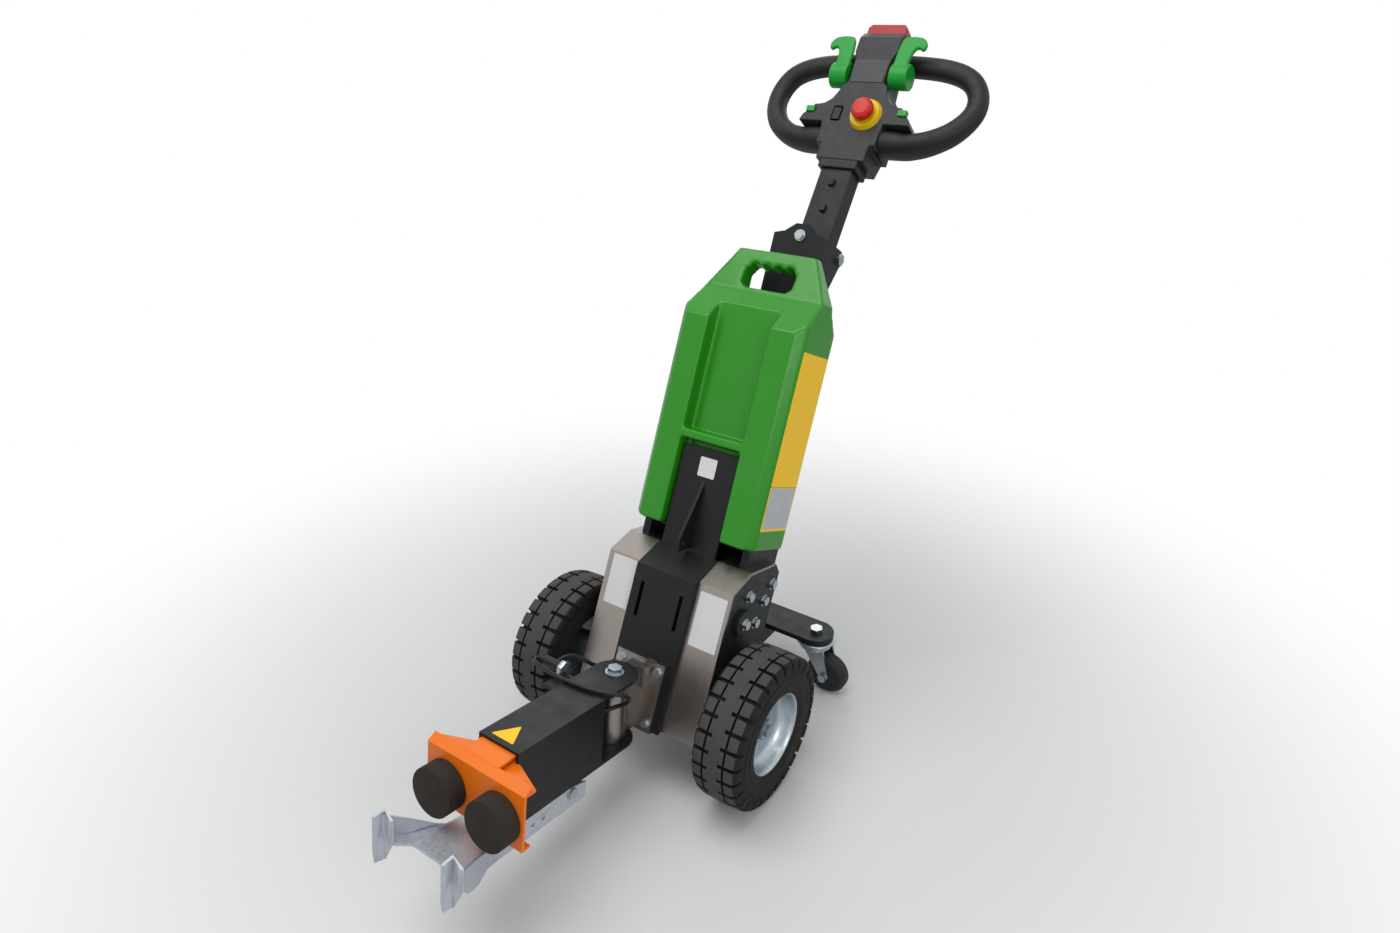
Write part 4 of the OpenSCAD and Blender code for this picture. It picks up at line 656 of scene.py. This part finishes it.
GRIP_PATH = [(52, 27, 94, 20, 24), (54, 27, 94, 22.5, 27), (80, 28, 94, 22, 28), (98, 30.5, 94.3, 20, 28),
             (112, 30, 96, 19.5, 27.5), (132, 30, 101, 19, 26), (154, 33, 113, 19, 23.5),
             (174, 37, 130, 19, 21.5), (190, 42, 154, 18.5, 19.5), (197.5, 46, 180, 18.3, 18.5),
             (194, 47, 206, 18.3, 18.5), (180, 45, 228, 18.3, 18.5), (158, 43, 241.5, 18.3, 18.5),
             (130, 41, 249, 18.3, 18.5), (98, 40, 253, 18.3, 18.5), (48, 40, 256, 18.3, 18.5)]
for out, word in ((-1, "left"), (1, "right")):
    grip = bmesh.new()
    swept(grip, [(out * x, y, z, a, b) for x, y, z, a, b in GRIP_PATH], TILLER, across=(0, 1, 0), sides=36,
          squareness=2.3)
    bring("oval_grip_" + word, grip, [grip_skin], "tiller", ["grip_loop_" + word], angle=50)

# Thumb paddles: a drum on the grip's end with a broad horn that hooks outwards

HORN = [(42, 214), (43, 256), (45.5, 274), (50, 282), (66, 284), (82, 282), (90, 277), (94.5, 269),
        (93.5, 260), (88, 256), (83, 261), (77, 261), (72, 252), (70.5, 236), (71, 214)]
HORN_DEPTH = (-10, -1)
DRUM_R, DRUM_WIDE = 22, 34
paddles = bmesh.new()
for out in (1, -1):
    horn = bmesh.new()
    slab_of(horn, [(out * x, z) for x, z in HORN], HORN_DEPTH, TILLER)
    rounded(horn, creases(horn, degrees=20), width_mm=3, segments=2)
    join(paddles, horn)
    drum = bmesh.new()
    disc(drum, DRUM_R, DRUM_WIDE, (out * 58.5, 8, 214), (1, 0, 0), TILLER, sides=64)
    join(paddles, drum)
softened("curled_thumb_paddles", paddles, green_nylon, "paddles", ["thumb_paddles"],
         grid_mm=1.1, passes=4, keep=0.6)

# Buffers: plain rubber discs with a small edge radius

BUFFER_R, BUFFER_DEEP = 37, 30
buffers = bmesh.new()
for x in (-51, 51):
    disc(buffers, BUFFER_R, BUFFER_DEEP, (x, -465.2, 137), (0, 1, 0), ARM, sides=96)
rounded(buffers, creases(buffers, degrees=60), width_mm=1.8, segments=3)
bring("buffer_discs", buffers, [buffer_rubber], "arm", ["rubber_buffers"])

# Bumper: its top flange runs back to the neck in two slanted corners

TOP_FLANGE = [(40, -405), (91.5, -428.5), (91.5, -446), (0, -446)]
flange = bmesh.new()
slab_of(flange, both(TOP_FLANGE), (182.6, 186.9), ARM, "Z")
rounded(flange, creases(flange, degrees=60), width_mm=1.0)
bring("bumper_top_flange", flange, [orange_coat], "arm")

# Lifting fork: its sides run out to the posts, and rise with the horns that carry them

SIDE_X, SIDE_SPREAD = 36, 42  # The sides' place at the back, and how much further out they end
SPREAD_FROM, SPREAD_LONG = 458, 80  # Where they start to spread, and over what length
HORN_FROM, HORN_LIFT = 525, 9  # Where the horns begin, and how much higher than the sheet they lie
SIDE_FLANGE = [(-440, 50), (-440, 83.2), (-462, 83.5), (-474, 88), (-505, 107), (-538, 125), (-538, 93),
               (-524, 76), (-505, 62), (-486, 52)]


def side_run(y):
    # How far out the fork's side lies at that distance to the front
    return SIDE_X + SIDE_SPREAD * min(max((-y - SPREAD_FROM) / SPREAD_LONG, 0), 1)


# What each side of the sheet loses, to make room for the new flange
OLD_SKIRT = [(38.5, -446), (38.5, -460), (side_run(-505), -505), (side_run(-538), -538), (80, -560),
             (120, -560), (120, -446)]
fork = copy_of("lift_fork")
for out in (1, -1):
    waste = bmesh.new()
    slab_of(waste, [(out * x, y) for x, y in OLD_SKIRT], (40, 112), ARM, "Z")
    fork = cut(fork, waste)
for vert in fork.verts:
    local = ARM.inverted() @ vert.co
    if local.y < -HORN_FROM * MM:
        vert.co += along(ARM, 0, 0, HORN_LIFT)
for out in (1, -1):
    side = bmesh.new()
    slab_of(side, SIDE_FLANGE, (-2, 2), ARM, "X")
    bmesh.ops.subdivide_edges(side, edges=side.edges, cuts=1)
    for vert in side.verts:
        local = ARM.inverted() @ vert.co
        vert.co += along(ARM, out * side_run(local.y / MM), 0, 0)
    bmesh.ops.recalc_face_normals(side, faces=side.faces)
    join(fork, side)
bring("folded_fork", fork, [fork_sheet], "fork", ["lift_fork"], angle=30)

# Posts: their feet are cut to a point, and rise to the front and to one side

FEET_UNDER = 76
FOOT_LOW, FOOT_RISE_SIDE, FOOT_RISE_FRONT = 46, 46, 24
POST_WIDE, POST_DEEP, POST_FRONT = 29, 21, 530
POST_LEFT_X, POST_RIGHT_X = -82, 50.5  # Where each post's foot begins to rise to the side
posts = copy_of("fork_posts")
for vert in posts.verts:
    local = ARM.inverted() @ vert.co / MM
    if local.z < FEET_UNDER:
        sideways = (local.x - (POST_LEFT_X if local.x < 0 else POST_RIGHT_X)) / POST_WIDE
        forward = (-POST_FRONT - local.y) / POST_DEEP
        if sideways > 0.2:
            foot = FOOT_LOW + FOOT_RISE_SIDE * sideways
        else:
            foot = FOOT_LOW + FOOT_RISE_FRONT * forward
        vert.co += along(ARM, 0, 0, foot - local.z)
bring("pointed_posts", posts, [fork_sheet], "fork", ["fork_posts"], angle=30)

# Swivel races: two plated discs between the beam and each caster's fork

CASTER_X, CASTER_Y = 149, 176
RACE_HIGH = 5.4
RACES = (("turning_", 98.5, 30), ("fixed_", 105.6, 38))
for side, word in ((-1, "left"), (1, "right")):
    for kind, low, radius in RACES:
        body = "chassis" if kind == "fixed_" else "caster_" + word
        race = bmesh.new()
        disc(race, radius, RACE_HIGH, (side * CASTER_X, CASTER_Y, low + RACE_HIGH / 2), (0, 0, 1), sides=64)
        rounded(race, creases(race, degrees=60), width_mm=1.6, segments=3)
        bring("swivel_race_" + kind + word, race, [zinc], body, angle=40)

# Gland nut on the arm's left, where the lead comes out

GLAND_R, GLAND_DEEP = 13.5, 9
nut = bmesh.new()
disc(nut, GLAND_R, GLAND_DEEP, (-64, -206, 205), (1, 0, 0), ARM, sides=6)
rounded(nut, creases(nut, degrees=50), width_mm=0.9, segments=2)
bring("gland_nut", nut, [zinc], "arm")

# Stickers: bare plates of vinyl film where the real machine carries its notices

CORNER_R = 2.0


def sticker(name, finish, body, matrix, at_mm, size_mm):
    # Thin rounded plate, with its thickness along the axis on which its size is smallest
    shape = bmesh.new()
    box(shape, size_mm, at_mm, matrix)
    thin = min(range(3), key=lambda k: size_mm[k])
    rounded(shape, edges_along(shape, along(matrix, *(float(k == thin) for k in range(3)))), CORNER_R, 4)
    bring(name, shape, [finish], body)


def front_of(node, matrix, x, z):
    # How far forward the node's surface lies at that point of a leaning frame
    start = matrix @ Vector((x * MM, -1, z * MM))
    _, place, _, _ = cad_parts[node].ray_cast(start, along(matrix, 0, 1, 0).normalized())
    return (matrix.inverted() @ place).y / MM


# Each with its middle and its size in the frame of what it sits on
sticker("notice_plate_right", white_film, "chassis", SLAB, (93, -62.2, 145), (52, 0.5, 91))
sticker("notice_plate_left", white_film, "chassis", SLAB, (-88.5, -62.2, 155), (52, 0.5, 86))
sticker("battery_side_notice", yellow_film, "battery", DECK, (120.1, 65, 220.5),
        (0.6, 93, 221))
sticker("battery_data_border", yellow_film, "battery", DECK, (120.1, 65, 71.5), (0.6, 93, 75))
sticker("battery_data_plate", silver_film, "battery", DECK, (120.4, 65, 73), (0.6, 88, 69))
tongue_front = front_of("front_spine", DECK, 12, 110)
sticker("spine_sticker", white_film, "chassis", DECK, (0.5, tongue_front - 0.2, 110),
        (33, 0.5, 33))

ARM_TRIANGLE = [(-24, -398), (18, -398), (-3, -360)]
triangle = bmesh.new()
slab_of(triangle, ARM_TRIANGLE, (203.7, 204.3), ARM, "Z")
rounded(triangle, edges_along(triangle, along(ARM, 0, 0, 1)), width_mm=3, segments=4)
bring("arm_sticker", triangle, [yellow_film], "arm")

# Leads: round cables on the routes that the CAD leads follow, in the arm's frame and in millimetres

ACTUATOR_ROUTE = [
    (-102, -206, 205), (-110, -206, 205), (-116, -213, 206), (-112, -222, 207), (-98, -228, 208),
    (-80, -231, 208), (-60, -233, 208), (-38, -233, 208), (-15, -231, 208), (5, -228, 208), (24, -222, 208),
    (40, -214, 208), (50, -203, 205), (53, -192, 198), (50, -183, 188), (42, -180, 176), (30, -186, 168),
    (20, -200, 164), (10, -220, 162), (0, -245, 162), (0, -275, 162), (0, -305, 162), (0, -322, 162)]
SWING_ROUTE = [(-86, -197, 205), (-86, -188, 205), (-86, -176, 205), (-80, -162, 203), (-70, -152, 197),
               (-60, -142, 188), (-55, -128, 180), (-54, -110, 176), (-54, -86, 174)]
LEAD_MM = 7


def lead(name, route, replaced):
    line = eased([ARM @ (Vector(p) * MM) for p in route])
    curve = bpy.data.curves.new(name, "CURVE")
    curve.dimensions = "3D"
    curve.bevel_depth = LEAD_MM / 2 * MM
    curve.bevel_resolution = 6
    curve.use_fill_caps = True
    spline = curve.splines.new("POLY")
    spline.points.add(len(line) - 1)
    for point, at in zip(spline.points, line):
        point.co = (*at, 1)
    mesh = final_mesh(put_in(name, curve), name)
    bpy.data.curves.remove(curve)
    mesh.materials.clear()
    made = finished(name, mesh, [cable_sheath], None, [replaced])
    length = sum((b - a).length for a, b in zip(line, line[1:]))
    return made, line, length


gear, gear_line, gear_length = lead("actuator_lead_cable", ACTUATOR_ROUTE, "actuator_lead")
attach(gear, "arm")
swing, swing_line, swing_length = lead("swing_lead_cable", SWING_ROUTE, "swing_lead")
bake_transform(swing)

# Stage: floor, light and camera

FLOOR_HALF = 12
shape = bmesh.new()
bmesh.ops.create_grid(shape, x_segments=1, y_segments=1, size=FLOOR_HALF)
floor_mesh = mesh_of(shape, "floor")
floor = put_in("floor", floor_mesh)
# The floor keeps the shadow, and fades to the white of the backdrop further out for the camera
floor_paint, floor_shader, floor_place = material(
    "pale_floor", **{"Base Color": linear("#dededd"), "Roughness": 0.9})
far = add(floor_paint, "ShaderNodeVectorMath", links={0: floor_place}, operation="LENGTH")
fade = add(floor_paint, "ShaderNodeMapRange", {"From Min": 0.45, "From Max": 1.5},
           {"Value": far.outputs["Value"]}, interpolation_type="SMOOTHSTEP")
look = add(floor_paint, "ShaderNodeLightPath")
white_share = add(floor_paint, "ShaderNodeMath", operation="MULTIPLY",
                  links={0: fade.outputs["Result"], 1: look.outputs["Is Camera Ray"]})
glow = add(floor_paint, "ShaderNodeEmission", {"Color": (1, 1, 1, 1), "Strength": 1.0})
faded = add(floor_paint, "ShaderNodeMixShader",
            links={0: white_share.outputs[0], 1: floor_shader.outputs["BSDF"], 2: glow.outputs[0]})
end = floor_paint.node_tree.nodes["Material Output"]
floor_paint.node_tree.links.new(faded.outputs[0], end.inputs["Surface"])
floor_mesh.materials.append(floor_paint)

# The world lights softly, and shows the camera, mirrors and glass a white backdrop
world = bpy.data.worlds.new("studio")
bpy.context.scene.world = world
world.use_nodes = True
world.node_tree.nodes.clear()
path = add(world, "ShaderNodeLightPath")
mirror_or_camera = add(world, "ShaderNodeMath", operation="MAXIMUM",
                       links={0: path.outputs["Is Camera Ray"], 1: path.outputs["Is Glossy Ray"]})
seen = add(world, "ShaderNodeMath", operation="MAXIMUM",
           links={0: mirror_or_camera.outputs[0], 1: path.outputs["Is Transmission Ray"]})
soft = add(world, "ShaderNodeBackground", {"Color": linear("#f4f6fa"), "Strength": 0.48})
white = add(world, "ShaderNodeBackground", {"Color": (1, 1, 1, 1), "Strength": 1.0})
sky = add(world, "ShaderNodeMixShader", links={0: seen.outputs[0], 1: soft.outputs[0], 2: white.outputs[0]})
add(world, "ShaderNodeOutputWorld", links={"Surface": sky.outputs[0]})


def lamp(name, place, target, size, power):
    # A square soft box at that place, in metres, turned to its target
    data = bpy.data.lights.new(name, "AREA")
    data.shape = "SQUARE"
    data.size = size
    data.energy = power
    made = put_in(name, data)
    made.location = place
    made.rotation_mode = "QUATERNION"
    made.rotation_quaternion = (Vector(target) - Vector(place)).to_track_quat("-Z", "Y")


lamp("ceiling_soft_box", (-0.4, -0.6, 3.2), (0, 0, 0.4), size=2.2, power=47)
lamp("side_soft_box", (2.6, -1.6, 2.0), (0, 0, 0.5), size=1.6, power=22)
lamp("rear_soft_box", (-1.6, 2.6, 2.4), (0, 0, 0.5), size=1.6, power=14)

# Camera from the photograph, seen from the front right and above

AZIMUTH, ELEVATION = math.radians(34.5), math.radians(26.35)
CAMERA_AT = (0.75827, -1.09746, 1.15824)
optics = bpy.data.cameras.new("camera")
optics.sensor_width = 36
optics.lens = 23.33
camera = put_in("camera", optics)
bpy.context.scene.camera = camera
camera.location = CAMERA_AT
ahead = Vector((-math.sin(AZIMUTH) * math.cos(ELEVATION), math.cos(AZIMUTH) * math.cos(ELEVATION),
                -math.sin(ELEVATION)))
camera.rotation_mode = "QUATERNION"
camera.rotation_quaternion = ahead.to_track_quat("-Z", "Y")
bpy.context.scene.view_settings.view_transform = "Standard"
